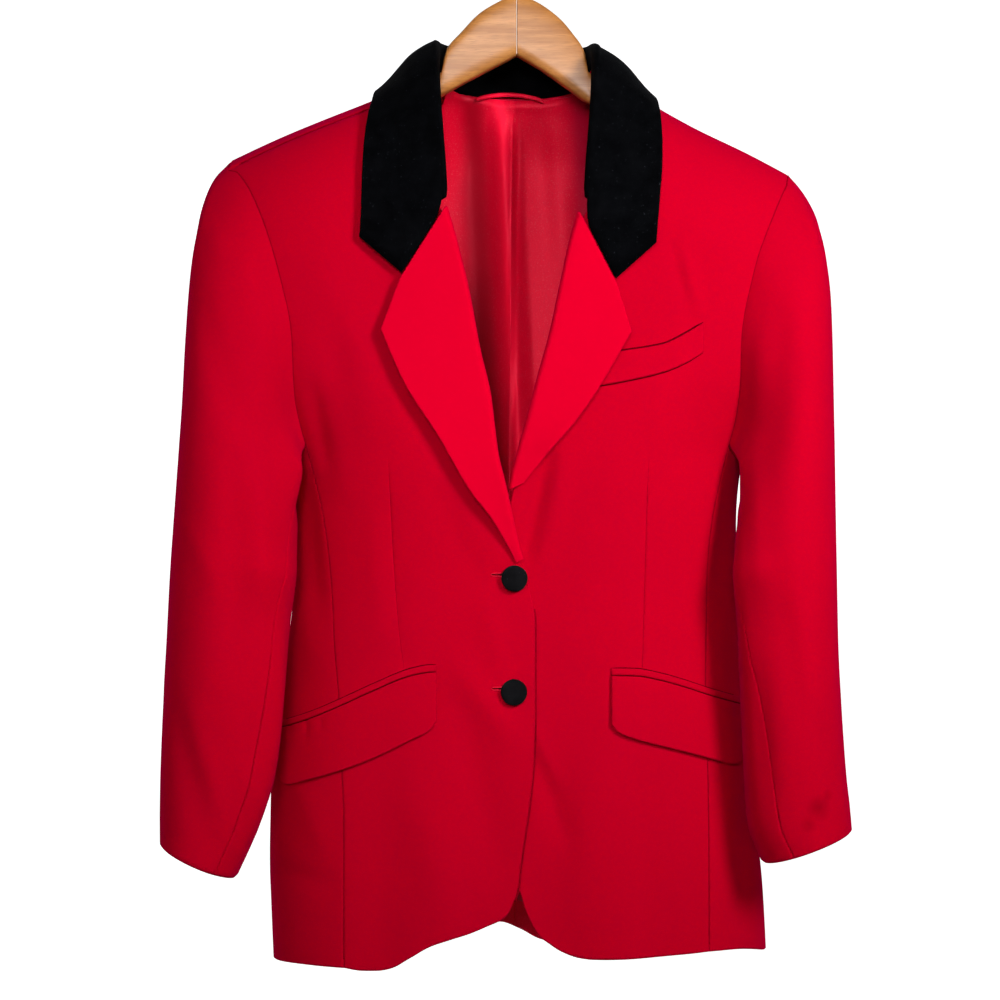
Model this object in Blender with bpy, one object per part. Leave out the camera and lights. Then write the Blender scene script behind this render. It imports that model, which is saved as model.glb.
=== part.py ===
"""A tailored wool jacket hung on a two-arm wooden hanger.

Lengths below are in millimetres and are scaled to metres when a mesh is made.
X runs across, the wearer's right is -X. The front faces -Y. Z is up.
The origin is the inside top of the hanger's hook.
"""
import math

import bpy
import numpy as np

MM = 0.001

WALL = 2.4            # wool with its inner lining
VELVET = 2.5          # collar, two layers of velvet
SATIN = 1.0           # lining of the back
SEAM = 0.3            # clear gap where two pieces meet
SHOULDER_T = 100.0    # the shoulder rounds over this height
SIDE_T = 115.0        # the sides round in over this width
FRONT_LAP = 1.7       # each front moves this far where they lap

# Upper edge of the shoulders seen from the front.
RIDGE = [
    # x, z
    (-262.0, -228.0), (-229.6, -212.0), (-185.0, -191.4), (-150.0, -177.0), (-113.0, -162.4),
    (-96.0, -155.0), (-76.0, -142.0), (-60.0, -127.0), (-45.0, -118.0), (-25.0, -113.5), (0.0, -112.0),
    (25.0, -113.5), (45.0, -118.0), (60.0, -127.0), (76.0, -143.0), (100.0, -160.0), (108.0, -165.0),
    (143.0, -184.6), (186.0, -205.3), (220.0, -223.2), (255.0, -243.0),
]

# Half widths of the body on each side, for the height z.
SIDES = [
    # z, right, left
    (-110.0, 272.0, 268.0), (-212.0, 266.0, 262.0), (-270.0, 258.0, 256.0), (-330.0, 247.0, 246.0),
    (-380.0, 226.0, 226.0), (-420.0, 196.0, 197.0), (-450.0, 180.0, 181.0), (-500.0, 175.5, 174.5),
    (-560.0, 176.5, 172.5), (-600.0, 179.5, 174.0), (-640.0, 184.0, 178.0), (-680.0, 189.5, 182.0),
    (-720.0, 194.5, 187.5), (-770.0, 196.0, 196.0), (-800.0, 195.0, 198.5), (-860.0, 192.5, 201.5),
]

# Depth of the hanging body before and behind the hanger.
DEPTHS = [
    # z, front, back
    (-100.0, 60.0, 58.0), (-220.0, 66.0, 62.0), (-330.0, 70.0, 65.0), (-440.0, 70.0, 62.0),
    (-560.0, 63.0, 56.0), (-680.0, 65.0, 59.0), (-860.0, 69.0, 63.0),
]

# Front edge of the armholes.
ARMHOLE_RIGHT = [
    # z, x
    (-211.6, -229.0), (-218.0, -223.8), (-225.0, -217.6), (-237.0, -209.0), (-258.0, -198.9),
    (-277.0, -191.7), (-298.0, -185.4), (-319.0, -179.9), (-339.0, -175.4), (-357.0, -173.4),
    (-380.0, -172.8), (-402.0, -172.0), (-423.0, -168.4), (-439.0, -164.5),
]
ARMHOLE_LEFT = [
    # z, x
    (-222.6, 219.0), (-231.0, 215.8), (-240.0, 210.7), (-260.0, 201.5), (-276.0, 194.7),
    (-294.0, 188.0), (-316.0, 182.4), (-337.0, 177.8), (-353.0, 175.8), (-368.0, 175.2),
    (-387.0, 175.4), (-402.0, 174.6), (-420.0, 172.4), (-439.0, 167.8),
]
UNDERARM_Z = -453.0
SIDE_SEAM_TOP = -439.0

# Front-side seams, in front of the side panels.
FRONT_SEAM_RIGHT = [
    # z, x
    (-439.0, -164.5), (-460.0, -158.6), (-488.0, -151.7), (-512.0, -147.6), (-534.0, -145.0),
    (-560.0, -143.0), (-591.0, -141.6), (-637.0, -137.7), (-693.0, -135.0), (-730.0, -133.4), (-848.0, -133.4),
]
FRONT_SEAM_LEFT = [
    # z, x
    (-439.0, 167.8), (-468.0, 160.9), (-494.0, 155.4), (-520.0, 152.1), (-543.0, 150.7),
    (-569.0, 150.3), (-628.0, 149.3), (-685.0, 150.4), (-714.0, 151.0), (-840.0, 150.9),
]
# Seams between the side panels and the back, as a half width.
BACK_SEAM = [
    # z, half_width
    (-439.0, 166.0), (-480.0, 154.0), (-540.0, 143.0), (-600.0, 141.0), (-700.0, 146.0), (-850.0, 150.0),
]
# Back edge of the armholes, as a half width.
BACK_ARMHOLE = [
    # z, half_width
    (-215.0, 224.5), (-232.0, 213.0), (-255.0, 202.0), (-285.0, 193.0), (-320.0, 187.0), (-360.0, 183.0),
    (-400.0, 177.0), (-439.0, 166.0),
]

# Neck edge of each front, then its roll line, then its front edge.
NECK_FRONT = [
    # z, half_width
    (-131.0, 64.0), (-150.0, 68.5), (-175.0, 70.0), (-205.0, 69.0), (-235.0, 65.0), (-253.0, 59.0),
]
ROLL_RIGHT = [
    # z, x
    (-253.0, -53.0), (-283.0, -44.5), (-321.0, -35.2), (-373.0, -25.1), (-402.0, -18.2),
    (-449.0, -12.0), (-475.0, -5.8), (-519.0, 3.2), (-530.0, 6.1),
]
ROLL_LEFT = [
    # z, x
    (-257.0, 48.3), (-283.0, 40.6), (-314.0, 33.6), (-355.0, 25.1), (-393.0, 15.1),
    (-427.0, 6.6), (-472.0, -5.0), (-512.0, -14.0),
]
EDGE_RIGHT = [
    # z, x
    (-530.0, 6.1), (-541.0, 9.1), (-560.0, 13.2), (-580.0, 15.1), (-651.0, 15.1), (-682.0, 14.1), (-714.0, 11.2),
    (-741.0, 7.3), (-768.0, 3.5), (-782.0, 1.9), (-795.0, -2.7),
]
EDGE_LEFT = [
    # z, x
    (-512.0, -14.0), (-560.0, -14.3), (-740.0, -14.0), (-760.0, -9.0), (-782.0, 2.7), (-793.0, 5.8),
]
# Hem of each front from its corner to the front-side seam.
HEM_RIGHT = [
    # x, z
    (-133.4, -845.0), (-120.0, -846.7), (-108.0, -846.5), (-97.0, -844.4), (-82.0, -836.0), (-66.0, -826.6),
    (-50.0, -821.2), (-35.0, -816.6), (-20.0, -810.4), (-12.0, -807.0), (-6.6, -802.6), (-2.7, -795.0),
]
HEM_LEFT = [
    # x, z
    (5.8, -793.0), (11.2, -806.5), (18.9, -819.7), (26.0, -825.0), (34.4, -830.5), (50.0, -835.9),
    (62.0, -836.9), (81.0, -836.7), (127.0, -834.4), (150.9, -833.0),
]
# Hem of the back, seen inside below the open fronts.
HEM_BACK = [
    # x, z
    (-200.0, -846.0), (-120.0, -845.0), (-60.0, -838.0), (-12.0, -829.0), (4.0, -834.5),
    (20.0, -843.0), (40.0, -847.5), (120.0, -845.0), (205.0, -838.0),
]

# Neck edge of the back.
NECK_BACK = [
    # x, z
    (-64.0, -131.0), (-55.0, -143.0), (-40.0, -148.5), (-20.0, -151.0), (0.0, -152.5), (20.0, -152.5),
    (40.0, -150.5), (55.0, -145.0), (64.0, -131.0),
]

# Fold of the collar on its way round the neck, wearer's right half.
COLLAR_FOLD = [
    # part of the way from the gorge to the back, x, y, z
    (0.00, 53.0, -70.0, -250.0), (0.10, 56.0, -68.5, -210.0), (0.20, 58.5, -58.0, -176.0), (0.30, 60.0, -41.0, -149.0),
    (0.40, 60.5, -21.0, -129.0), (0.50, 60.5, -3.0, -119.5), (0.60, 58.5, 21.0, -116.0), (0.70, 50.5, 33.0, -116.0),
    (0.80, 37.0, 40.0, -116.5), (0.90, 19.5, 44.5, -117.5), (1.00, 0.0, 46.0, -118.0),
]
# Outer edge of the collar on the shoulder. v is along the surface from the ridge and below 0 in front.
COLLAR_EDGE = [
    # part of the way, x, v, lift
    (0.00, 120.5, -135.0, 5.0), (0.10, 116.5, -98.0, 4.6), (0.20, 113.5, -68.0, 4.2), (0.30, 111.5, -43.0, 4.6),
    (0.40, 109.5, -19.0, 5.2), (0.50, 106.0, 5.0, 5.4), (0.60, 95.0, 34.0, 5.0), (0.70, 77.0, 62.0, 4.6),
    (0.80, 54.0, 86.0, 4.4), (0.90, 28.0, 99.0, 4.4), (1.00, 0.0, 104.0, 4.4),
]
GORGE_RIGHT = [(-53.0, -253.0), (-87.8, -308.3), (-120.5, -280.5)]
GORGE_LEFT = [(48.3, -257.0), (77.0, -313.0), (108.5, -285.0)]

# Outer edge of the lapels from the tip down.
LAPEL_RIGHT = [
    # z, x
    (-350.0, -104.0), (-392.0, -85.5), (-432.0, -60.0), (-474.0, -35.2), (-496.0, -18.2), (-530.0, 0.6), (-541.0, 6.2),
]
LAPEL_LEFT = [
    # z, x
    (-351.6, 89.3), (-393.0, 65.4), (-422.0, 45.2), (-445.0, 25.1), (-468.0, 6.5),
]

# Sleeve sections: outer point, inner point, how far forward, half the depth.
SLEEVE_RIGHT = [
    # t, outer_x, outer_z, inner_x, inner_z, y, half_depth, front_seam, back_seam
    (0.00, -229.0, -211.6, -178.5, -453.0, 0.0, 55.0, 168.0, 222.0),
    (0.04, -239.0, -224.5, -181.8, -457.0, -3.0, 58.5, 167.0, 222.0),
    (0.08, -245.3, -241.0, -182.8, -461.0, -8.0, 60.5, 166.0, 222.0),
    (0.13, -250.4, -262.4, -182.6, -465.0, -14.0, 61.5, 165.0, 222.0),
    (0.19, -254.7, -290.7, -180.0, -470.0, -20.0, 62.0, 164.0, 223.0),
    (0.26, -257.7, -326.8, -177.5, -476.0, -26.0, 61.5, 163.0, 224.0),
    (0.33, -259.4, -362.7, -174.5, -483.0, -31.0, 61.0, 161.0, 225.0),
    (0.40, -260.8, -402.6, -172.5, -491.0, -36.0, 60.0, 159.0, 226.0),
    (0.48, -263.0, -442.1, -171.0, -503.0, -40.0, 59.0, 156.0, 227.0),
    (0.56, -266.0, -489.5, -171.0, -522.0, -43.0, 58.0, 153.0, 228.0),
    (0.65, -268.8, -536.6, -172.5, -550.0, -46.0, 56.5, 146.0, 229.0),
    (0.74, -271.4, -591.4, -177.5, -594.0, -48.0, 54.5, 139.0, 230.0),
    (0.82, -273.7, -638.3, -181.5, -642.2, -51.0, 52.0, 133.0, 231.0),
    (0.88, -275.0, -677.3, -184.6, -676.0, -53.0, 49.5, 129.0, 232.0),
    (0.92, -275.6, -700.7, -188.5, -700.0, -54.0, 48.0, 127.0, 233.0),
    (0.96, -275.8, -724.1, -199.0, -734.0, -55.0, 46.5, 125.0, 234.0),
    (1.00, -275.4, -747.6, -216.6, -774.0, -56.0, 45.0, 123.0, 235.0),
]
SLEEVE_LEFT = [
    # t, outer_x, outer_z, inner_x, inner_z, y, half_depth, front_seam, back_seam
    (0.00, 219.0, -222.6, 178.5, -453.0, 0.0, 55.0, 168.0, 222.0),
    (0.04, 227.5, -233.5, 181.5, -457.0, -3.0, 58.5, 167.0, 222.0),
    (0.08, 234.4, -247.7, 182.5, -461.0, -8.0, 60.5, 166.0, 222.0),
    (0.13, 240.2, -264.0, 182.5, -465.0, -14.0, 61.5, 165.0, 222.0),
    (0.19, 245.0, -288.3, 181.5, -470.0, -20.0, 62.0, 164.0, 223.0),
    (0.26, 248.0, -322.8, 179.5, -476.0, -26.0, 61.5, 163.0, 224.0),
    (0.33, 248.7, -362.7, 177.5, -483.0, -31.0, 61.0, 161.0, 225.0),
    (0.40, 248.9, -402.6, 175.5, -491.0, -36.0, 60.0, 160.0, 226.0),
    (0.48, 249.2, -442.1, 174.2, -503.0, -40.0, 59.0, 158.0, 227.0),
    (0.56, 249.6, -489.5, 172.2, -522.0, -43.0, 58.0, 156.0, 228.0),
    (0.65, 250.1, -536.6, 171.6, -550.0, -46.0, 56.5, 153.0, 229.0),
    (0.74, 250.9, -591.4, 174.1, -591.4, -48.0, 54.5, 143.0, 230.0),
    (0.82, 252.9, -638.3, 175.8, -638.3, -51.0, 52.0, 133.0, 231.0),
    (0.88, 255.3, -677.3, 177.2, -677.3, -53.0, 49.5, 126.0, 232.0),
    (0.92, 257.1, -699.0, 178.3, -704.6, -54.0, 48.0, 122.0, 233.0),
    (0.96, 259.3, -719.0, 180.5, -733.5, -55.0, 46.5, 118.0, 234.0),
    (1.00, 260.7, -736.7, 191.4, -762.5, -56.0, 45.0, 114.0, 235.0),
]

# Pocket flaps: upper and lower edge at stations from the inner end outward.
FLAP_RIGHT = [
    # x, upper_z, lower_z
    (-61.0, -615.0, -652.0), (-66.0, -615.2, -659.5), (-80.0, -617.8, -667.0), (-110.0, -630.0, -682.0),
    (-135.0, -642.0, -692.0), (-160.0, -653.3, -700.3), (-178.0, -660.2, -705.5), (-186.5, -663.0, -700.0),
]
FLAP_LEFT = [
    # x, upper_z, lower_z
    (74.0, -617.8, -655.0), (79.3, -617.9, -661.5), (94.0, -618.4, -667.5), (112.0, -622.0, -672.5),
    (129.0, -627.0, -677.2), (150.0, -634.5, -683.6), (172.0, -642.0, -690.0), (181.0, -645.5, -685.0),
]
JET_TALL = 5.2
# Breast pocket welt.
WELT = [
    # x, upper_z, lower_z
    (62.0, -369.0, -394.0), (84.0, -366.3, -390.0), (114.0, -361.2, -383.0), (130.0, -353.6, -376.5), (145.2, -344.6, -367.6),
]
BUTTONS = {"button_upper": (-0.8, -542.0), "button_lower": (-1.2, -630.2)}
BUTTON_R = 10.2
BUTTON_H = 5.5

# Hanger arms.
ARM_THICK = 18.0
ARM_RIGHT = [
    # x, top_z, bottom_z
    (-0.4, -77.6, -127.6), (-13.6, -83.8, -134.5), (-28.0, -92.6, -142.0), (-44.0, -109.0, -150.4),
    (-54.0, -120.4, -156.0), (-56.0, -126.0, -157.0), (-58.5, -140.0, -158.5), (-66.0, -142.3, -162.5),
    (-80.0, -153.3, -171.5), (-110.0, -169.8, -188.0), (-150.0, -185.8, -203.0), (-190.0, -203.3, -218.0),
    (-208.0, -211.8, -223.5),
]
ARM_LEFT = [
    # x, top_z, bottom_z
    (3.4, -77.6, -127.6), (18.2, -84.2, -136.5), (35.7, -97.0, -148.6), (46.0, -109.0, -156.0),
    (54.0, -120.4, -162.0), (56.0, -126.0, -163.0), (58.5, -140.0, -164.0), (66.0, -142.8, -167.5),
    (80.0, -154.8, -176.0), (108.0, -174.3, -192.0), (143.0, -193.3, -210.0), (186.0, -214.3, -229.0),
    (200.0, -221.8, -233.5),
]
HOOK_R = 24.0
HOOK_WIRE = 2.0

RED = (0.62, 0.005, 0.02)
LINING_RED = (0.5, 0.01, 0.03)
BLACK = (0.006, 0.006, 0.008)
WOOD = (0.78, 0.55, 0.3)
STEEL = (0.6, 0.6, 0.6)


def column(table, number):
    return [row[number] for row in table]


def through(xs, ys):
    """Smooth curve through table rows, without overshoot between them."""
    xs = np.asarray(xs, float)
    ys = np.asarray(ys, float)
    if xs[0] > xs[-1]:
        xs = xs[::-1]
        ys = ys[::-1]
    step = np.diff(xs)
    rise = np.diff(ys) / step
    slope = np.zeros(len(xs))
    slope[0] = rise[0]
    slope[-1] = rise[-1]
    for i in range(1, len(xs) - 1):
        if rise[i - 1] * rise[i] > 0:
            slope[i] = 2 * rise[i - 1] * rise[i] / (rise[i - 1] + rise[i])

    def value(x):
        x = min(max(x, xs[0]), xs[-1])
        i = min(max(int(np.searchsorted(xs, x)) - 1, 0), len(xs) - 2)
        h = step[i]
        u = (x - xs[i]) / h
        a = (1 + 2 * u) * (1 - u) ** 2
        b = u * (1 - u) ** 2
        c = u * u * (3 - 2 * u)
        d = u * u * (u - 1)
        return float(a * ys[i] + b * h * slope[i] + c * ys[i + 1] + d * h * slope[i + 1])

    return value


def by_z(table, number=1):
    return through(column(table, 0), column(table, number))


ridge = through(column(RIDGE, 0), column(RIDGE, 1))
half_right = by_z(SIDES, 1)
half_left = by_z(SIDES, 2)
depth_front = by_z(DEPTHS, 1)
depth_back = by_z(DEPTHS, 2)
back_seam = by_z(BACK_SEAM)
back_armhole = by_z(BACK_ARMHOLE)
neck_front = by_z(NECK_FRONT)
neck_back = through(column(NECK_BACK, 0), column(NECK_BACK, 1))
hem_back = through(column(HEM_BACK, 0), column(HEM_BACK, 1))
armhole_front = {-1: by_z(ARMHOLE_RIGHT), 1: by_z(ARMHOLE_LEFT)}
front_seam = {-1: by_z(FRONT_SEAM_RIGHT), 1: by_z(FRONT_SEAM_LEFT)}
roll_line = {-1: by_z(ROLL_RIGHT), 1: by_z(ROLL_LEFT)}
front_edge = {-1: by_z(EDGE_RIGHT), 1: by_z(EDGE_LEFT)}
lapel_edge = {-1: by_z(LAPEL_RIGHT), 1: by_z(LAPEL_LEFT)}
ARM_TOP_Z = {-1: ARMHOLE_RIGHT[0][0], 1: ARMHOLE_LEFT[0][0]}
ARM_TOP_X = {-1: ARMHOLE_RIGHT[0][1], 1: ARMHOLE_LEFT[0][1]}


def smooth_step(a, b, x):
    u = min(max((x - a) / (b - a), 0.0), 1.0)
    return u * u * (3 - 2 * u)


def round_over(gap, size):
    """1 well inside, falling to 0 at an edge that a quarter round of this size ends on."""
    u = min(max(1 - gap / size, 0.0), 1.0)
    return math.sqrt(max(1 - u * u, 0.0))


def half_width(x, z):
    return half_right(z) if x < 0 else half_left(z)


def shrink(x, z):
    """Part of the full depth that the body has at x and z."""
    return round_over(ridge(x) - z, SHOULDER_T) * round_over(half_width(x, z) - abs(x), SIDE_T)


def level(x, y, z):
    depth = depth_front(z) if y < 0 else depth_back(z)
    u = min(max(1 - (ridge(x) - z) / SHOULDER_T, -1.0), 2.0)
    w = min(max(1 - (half_width(x, z) - abs(x)) / SIDE_T, -1.0), 2.0)
    over = 1 - max(u, 0.0) ** 2
    side = 1 - max(w, 0.0) ** 2
    return (y / depth) ** 2 - over * side


def outward(p):
    """Direction out of the body's surface."""
    e = 0.4
    g = []
    for axis in range(3):
        a = list(p)
        b = list(p)
        a[axis] -= e
        b[axis] += e
        g.append(level(*b) - level(*a))
    g = np.array(g)
    return g / max(np.linalg.norm(g), 1e-9)


def drop(v):
    """Fall below the ridge after going v along the surface."""
    v = abs(v)
    quarter = SHOULDER_T * math.pi / 2
    if v < quarter:
        return SHOULDER_T * (1 - math.cos(v / SHOULDER_T))
    return SHOULDER_T + v - quarter


def along(x, z):
    """How far z lies along the surface from the ridge."""
    t = max(ridge(x) - z, 0.0)
    if t < SHOULDER_T:
        return SHOULDER_T * math.acos(1 - t / SHOULDER_T)
    return SHOULDER_T * (math.pi / 2 - 1) + t


def on_body(x, v):
    """Point of the body's outer surface, in front for v below 0."""
    z = ridge(x) - drop(v)
    face = -1 if v < 0 else 1
    depth = depth_front(z) if face < 0 else depth_back(z)
    over = math.sin(min(abs(v) / SHOULDER_T, math.pi / 2))
    side = round_over(half_width(x, z) - abs(x), SIDE_T)
    return np.array([x, face * depth * over * side, z])


def front_at(x, z):
    return on_body(x, -along(x, z))


def back_at(x, z):
    return on_body(x, along(x, z))


def on_side(hand, w, z):
    """Point of the body's side, w runs round it and is below 0 in front."""
    half = half_right(z) if hand < 0 else half_left(z)
    quarter = SIDE_T * math.pi / 2
    a = min(abs(w), quarter)
    x = half - SIDE_T * (1 - math.cos(a / SIDE_T)) - (abs(w) - a)
    depth = depth_front(z) if w < 0 else depth_back(z)
    y = math.copysign(depth * math.sin(a / SIDE_T), w)
    return np.array([hand * x, y, z])


def round_side(hand, x, z):
    """How far round the side a point at x lies."""
    half = half_right(z) if hand < 0 else half_left(z)
    d = max(half - abs(x), 0.0)
    if d < SIDE_T:
        return SIDE_T * math.acos(1 - d / SIDE_T)
    return SIDE_T * (math.pi / 2 - 1) + d


def material(name, colour, rough, metal=0.0):
    found = bpy.data.materials.new(name)
    found.use_nodes = True
    shader = found.node_tree.nodes["Principled BSDF"]
    shader.inputs["Base Color"].default_value = (*colour, 1.0)
    shader.inputs["Roughness"].default_value = rough
    shader.inputs["Metallic"].default_value = metal
    found.diffuse_color = (*colour, 1.0)
    return found


def solid(name, points, faces, colour, rough=0.8, metal=0.0, smooth=True):
    """One closed body with its faces outward."""
    points = np.asarray(points, float) * MM
    volume = 0.0
    for face in faces:
        a = points[face[0]]
        for i in range(1, len(face) - 1):
            volume += float(np.dot(a, np.cross(points[face[i]], points[face[i + 1]])))
    if volume < 0:
        faces = [tuple(reversed(face)) for face in faces]
    mesh = bpy.data.meshes.new(name)
    mesh.from_pydata([tuple(p) for p in points], [], faces)
    mesh.update()
    mesh.polygons.foreach_set("use_smooth", [smooth] * len(mesh.polygons))
    mesh.materials.append(material(name + "_finish", colour, rough, metal))
    thing = bpy.data.objects.new(name, mesh)
    bpy.context.scene.collection.objects.link(thing)
    return thing


def cloth(name, outer, inner, colour, rough=0.8):
    """A closed wall between an outer and an inner grid of points."""
    outer = np.asarray(outer, float)
    inner = np.asarray(inner, float)
    rows, cols = outer.shape[:2]
    points = np.concatenate([outer.reshape(-1, 3), inner.reshape(-1, 3)])
    back = rows * cols

    def at(i, j):
        return i * cols + j

    faces = []
    for i in range(rows - 1):
        for j in range(cols - 1):
            a = at(i, j)
            b = at(i + 1, j)
            c = at(i + 1, j + 1)
            d = at(i, j + 1)
            straight = math.dist(outer[i, j], outer[i + 1, j + 1]) <= math.dist(outer[i + 1, j], outer[i, j + 1])
            halves = ((a, b, c), (a, c, d)) if straight else ((a, b, d), (b, c, d))
            for corner in halves:
                faces.append(corner)
                faces.append(tuple(back + k for k in reversed(corner)))
    rim = [at(0, j) for j in range(cols)]
    rim += [at(i, cols - 1) for i in range(1, rows)]
    rim += [at(rows - 1, j) for j in range(cols - 2, -1, -1)]
    rim += [at(i, 0) for i in range(rows - 2, 0, -1)]
    for k, a in enumerate(rim):
        b = rim[(k + 1) % len(rim)]
        faces.append((a, b, back + b, back + a))
    return solid(name, points, faces, colour, rough)


def patch(top, bottom, left, right):
    """Points between four edges, rows from top to bottom, columns from left to right."""
    top, bottom, left, right = (np.asarray(edge, float) for edge in (top, bottom, left, right))
    rows = len(left)
    cols = len(top)
    grid = np.zeros((rows, cols, top.shape[1]))
    for i in range(rows):
        r = i / (rows - 1)
        for j in range(cols):
            s = j / (cols - 1)
            across = (1 - s) * left[i] + s * right[i]
            down = (1 - r) * top[j] + r * bottom[j]
            corners = (1 - r) * ((1 - s) * left[0] + s * right[0]) + r * ((1 - s) * left[-1] + s * right[-1])
            grid[i, j] = across + down - corners
    return grid


def even_out(grid, passes=300):
    """Move the inner points of a patch until its lines cross squarely and none fold over."""
    for _ in range(passes):
        left = grid[1:-1, :-2]
        right = grid[1:-1, 2:]
        above = grid[:-2, 1:-1]
        below = grid[2:, 1:-1]
        across = (right - left) / 2
        down = (below - above) / 2
        a = np.sum(down * down, axis=2, keepdims=True)
        b = np.sum(across * down, axis=2, keepdims=True)
        c = np.sum(across * across, axis=2, keepdims=True)
        twist = grid[2:, 2:] - grid[:-2, 2:] - grid[2:, :-2] + grid[:-2, :-2]
        moved = (a * (left + right) + c * (above + below) - b * twist / 2) / (2 * (a + c) + 1e-9)
        grid[1:-1, 1:-1] += 0.6 * (moved - grid[1:-1, 1:-1])
    return grid


def spread(first, last, count):
    return [first + (last - first) * i / count for i in range(count + 1)]


# Shared stations of the seams.

ARM_ROWS = 8          # rows of a front or back beside the armhole
SEAM_ROWS = 13        # rows from the armhole down to the hem
FRONT_COLS = 8
BACK_COLS = 9
NECK_COLS = 6
SIDE_COLS = 6
SHOULDER_V = 6.0      # the shoulder seam lies this far in front of the ridge
NECK_ROWS = 5
ROLL_ROWS = {-1: 9, 1: 8}


def arm_heights(hand):
    """Heights of the armhole stations, closer together over the shoulder."""
    top = ARM_TOP_Z[hand]
    middle = (top + UNDERARM_Z) / 2
    reach = (top - UNDERARM_Z) / 2
    start = math.acos(1 - 0.9 / reach)
    end = math.acos((SIDE_SEAM_TOP - middle) / reach)
    return [middle + reach * math.cos(a) for a in spread(start, end, ARM_ROWS)]


def arm_front(hand):
    """Armhole stations in front as x and v, from the shoulder seam to the front-side seam."""
    rows = []
    for i, z in enumerate(arm_heights(hand)):
        x = armhole_front[hand](z)
        v = -SHOULDER_V if i == 0 else -along(x, z)
        rows.append((x, v))
    return rows


def arm_back(hand):
    """Armhole stations behind, the first on the shoulder seam in front of the ridge."""
    rows = [arm_front(hand)[0]]
    heights = arm_heights(hand)
    for z in heights[1:]:
        x = hand * back_armhole(min(z, -215.0) if hand < 0 else z)
        if z > -300.0:
            ease = smooth_step(-215.0, -300.0, z)
            x = (1 - ease) * (armhole_front[hand](z) + hand * 1.0) + ease * x
        rows.append((x, along(x, z)))
    return rows


def seam_heights(hem_z):
    return spread(SIDE_SEAM_TOP, hem_z, SEAM_ROWS)


def hem_side(hand, w):
    """Height of the hem round the side."""
    front_z = -845.0 if hand < 0 else -833.0
    back_z = -845.5 if hand < 0 else -839.0
    lowest = -847.0 if hand < 0 else -840.0
    a = smooth_step(-90.0, 0.0, w)
    b = smooth_step(0.0, 90.0, w)
    return front_z + (lowest - front_z) * a + (back_z - lowest) * b


def fold(x, z, hand):
    """Soft standing folds of the hanging cloth, outward, fading to nothing at the seams."""
    low = smooth_step(-560.0, -840.0, z)
    wave = 0.0
    if hand < 0:
        wave += 4.0 * low * math.exp(-((x + 62.0) / 26.0) ** 2)
        wave -= 2.6 * low * math.exp(-((x + 104.0) / 20.0) ** 2)
        wave -= 2.6 * math.exp(-((x + 138.0) / 15.0) ** 2) * math.exp(-((z + 400.0) / 60.0) ** 2)
    else:
        wave += 3.2 * low * math.exp(-((x - 72.0) / 30.0) ** 2)
        wave -= 1.8 * low * math.exp(-((x - 112.0) / 22.0) ** 2)
        wave -= 2.0 * math.exp(-((x - 140.0) / 14.0) ** 2) * math.exp(-((z + 420.0) / 60.0) ** 2)
    return wave


def front_lift(hand, x, z):
    """Where the fronts lap, the right one lies on the left one."""
    lap = FRONT_LAP * smooth_step(80.0, 22.0, hand * x) * smooth_step(-330.0, -480.0, z)
    return -hand * lap + fold(x, z, hand)


def front_surface(hand, x, v, lift=0.0):
    p = on_body(x, v)
    n = outward(p)
    return p + n * (lift + front_lift(hand, p[0], p[2])), n


def grid_on(grid, place, thick=WALL, lift=0.0):
    """Outer and inner points of a piece from a grid of surface coordinates."""
    rows, cols = grid.shape[:2]
    outer = np.zeros((rows, cols, 3))
    inner = np.zeros((rows, cols, 3))
    for i in range(rows):
        for j in range(cols):
            p, n = place(*grid[i, j])
            outer[i, j] = p + n * lift
            inner[i, j] = p + n * (lift - thick)
    return outer, inner


ROLL_R = 4.0          # radius of the turned lapel
ROLL_END_R = 1.5      # and where it dies into the front edge
ROLL_CLEAR = 1.4
LAPEL_END = {-1: -527.0, 1: -464.0}


def roll_radius(hand, z):
    end = LAPEL_END[hand]
    small = ROLL_END_R if hand < 0 else 2.2
    return small + (ROLL_R - small) * smooth_step(end, end + 70.0, z)


def roll_inset(hand, z):
    """How far outside the roll line the wall of the front ends."""
    end = LAPEL_END[hand]
    reach = 30.0 if hand < 0 else 50.0
    return (roll_radius(hand, z) + ROLL_CLEAR) * smooth_step(end - reach, end - reach * 0.35, z)


def neck_station(hand, part):
    """Point of the neck edge in front, from the shoulder seam to the gorge, as x and v."""
    last = along(neck_front(-253.0), -253.0)
    v = SHOULDER_V + (last - SHOULDER_V) * part
    x = 64.0
    for _ in range(12):
        x = neck_front(ridge(hand * x) - drop(v))
    return hand * x, -v


def neck_behind(count):
    """Evenly spaced points of the back's neck edge, from the shoulder seam to the middle, as half width and v."""
    fine = [(64.0, -SHOULDER_V), (64.0, 0.0)]
    for turn in spread(0.0, math.pi / 2, 60):
        x = 64.0 * math.cos(turn)
        fine.append((x, along(x, neck_back(x))))
    lengths = [0.0]
    for a, b in zip(fine[:-1], fine[1:]):
        lengths.append(lengths[-1] + math.dist(a, b))
    rows = []
    for at in spread(0.0, lengths[-1], count):
        rows.append((float(np.interp(at, lengths, column(fine, 0))), float(np.interp(at, lengths, column(fine, 1)))))
    return rows


def front_right_edge(hand):
    """Neck, roll and front edge of a front as x and v."""
    rows = [list(neck_station(hand, part)) for part in spread(0.0, 1.0, NECK_ROWS)]
    table = ROLL_RIGHT if hand < 0 else ROLL_LEFT
    start = table[0][0]
    end = table[-1][0]
    for z in spread(start, end, ROLL_ROWS[hand])[1:]:
        x = roll_line[hand](z) + hand * roll_inset(hand, z)
        rows.append([x, -along(x, z)])
    left = ARM_ROWS + SEAM_ROWS - NECK_ROWS - ROLL_ROWS[hand]
    table = EDGE_RIGHT if hand < 0 else EDGE_LEFT
    for z in spread(table[0][0], table[-1][0], left)[1:]:
        x = front_edge[hand](z)
        rows.append([x, -along(x, z)])
    return rows


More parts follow.
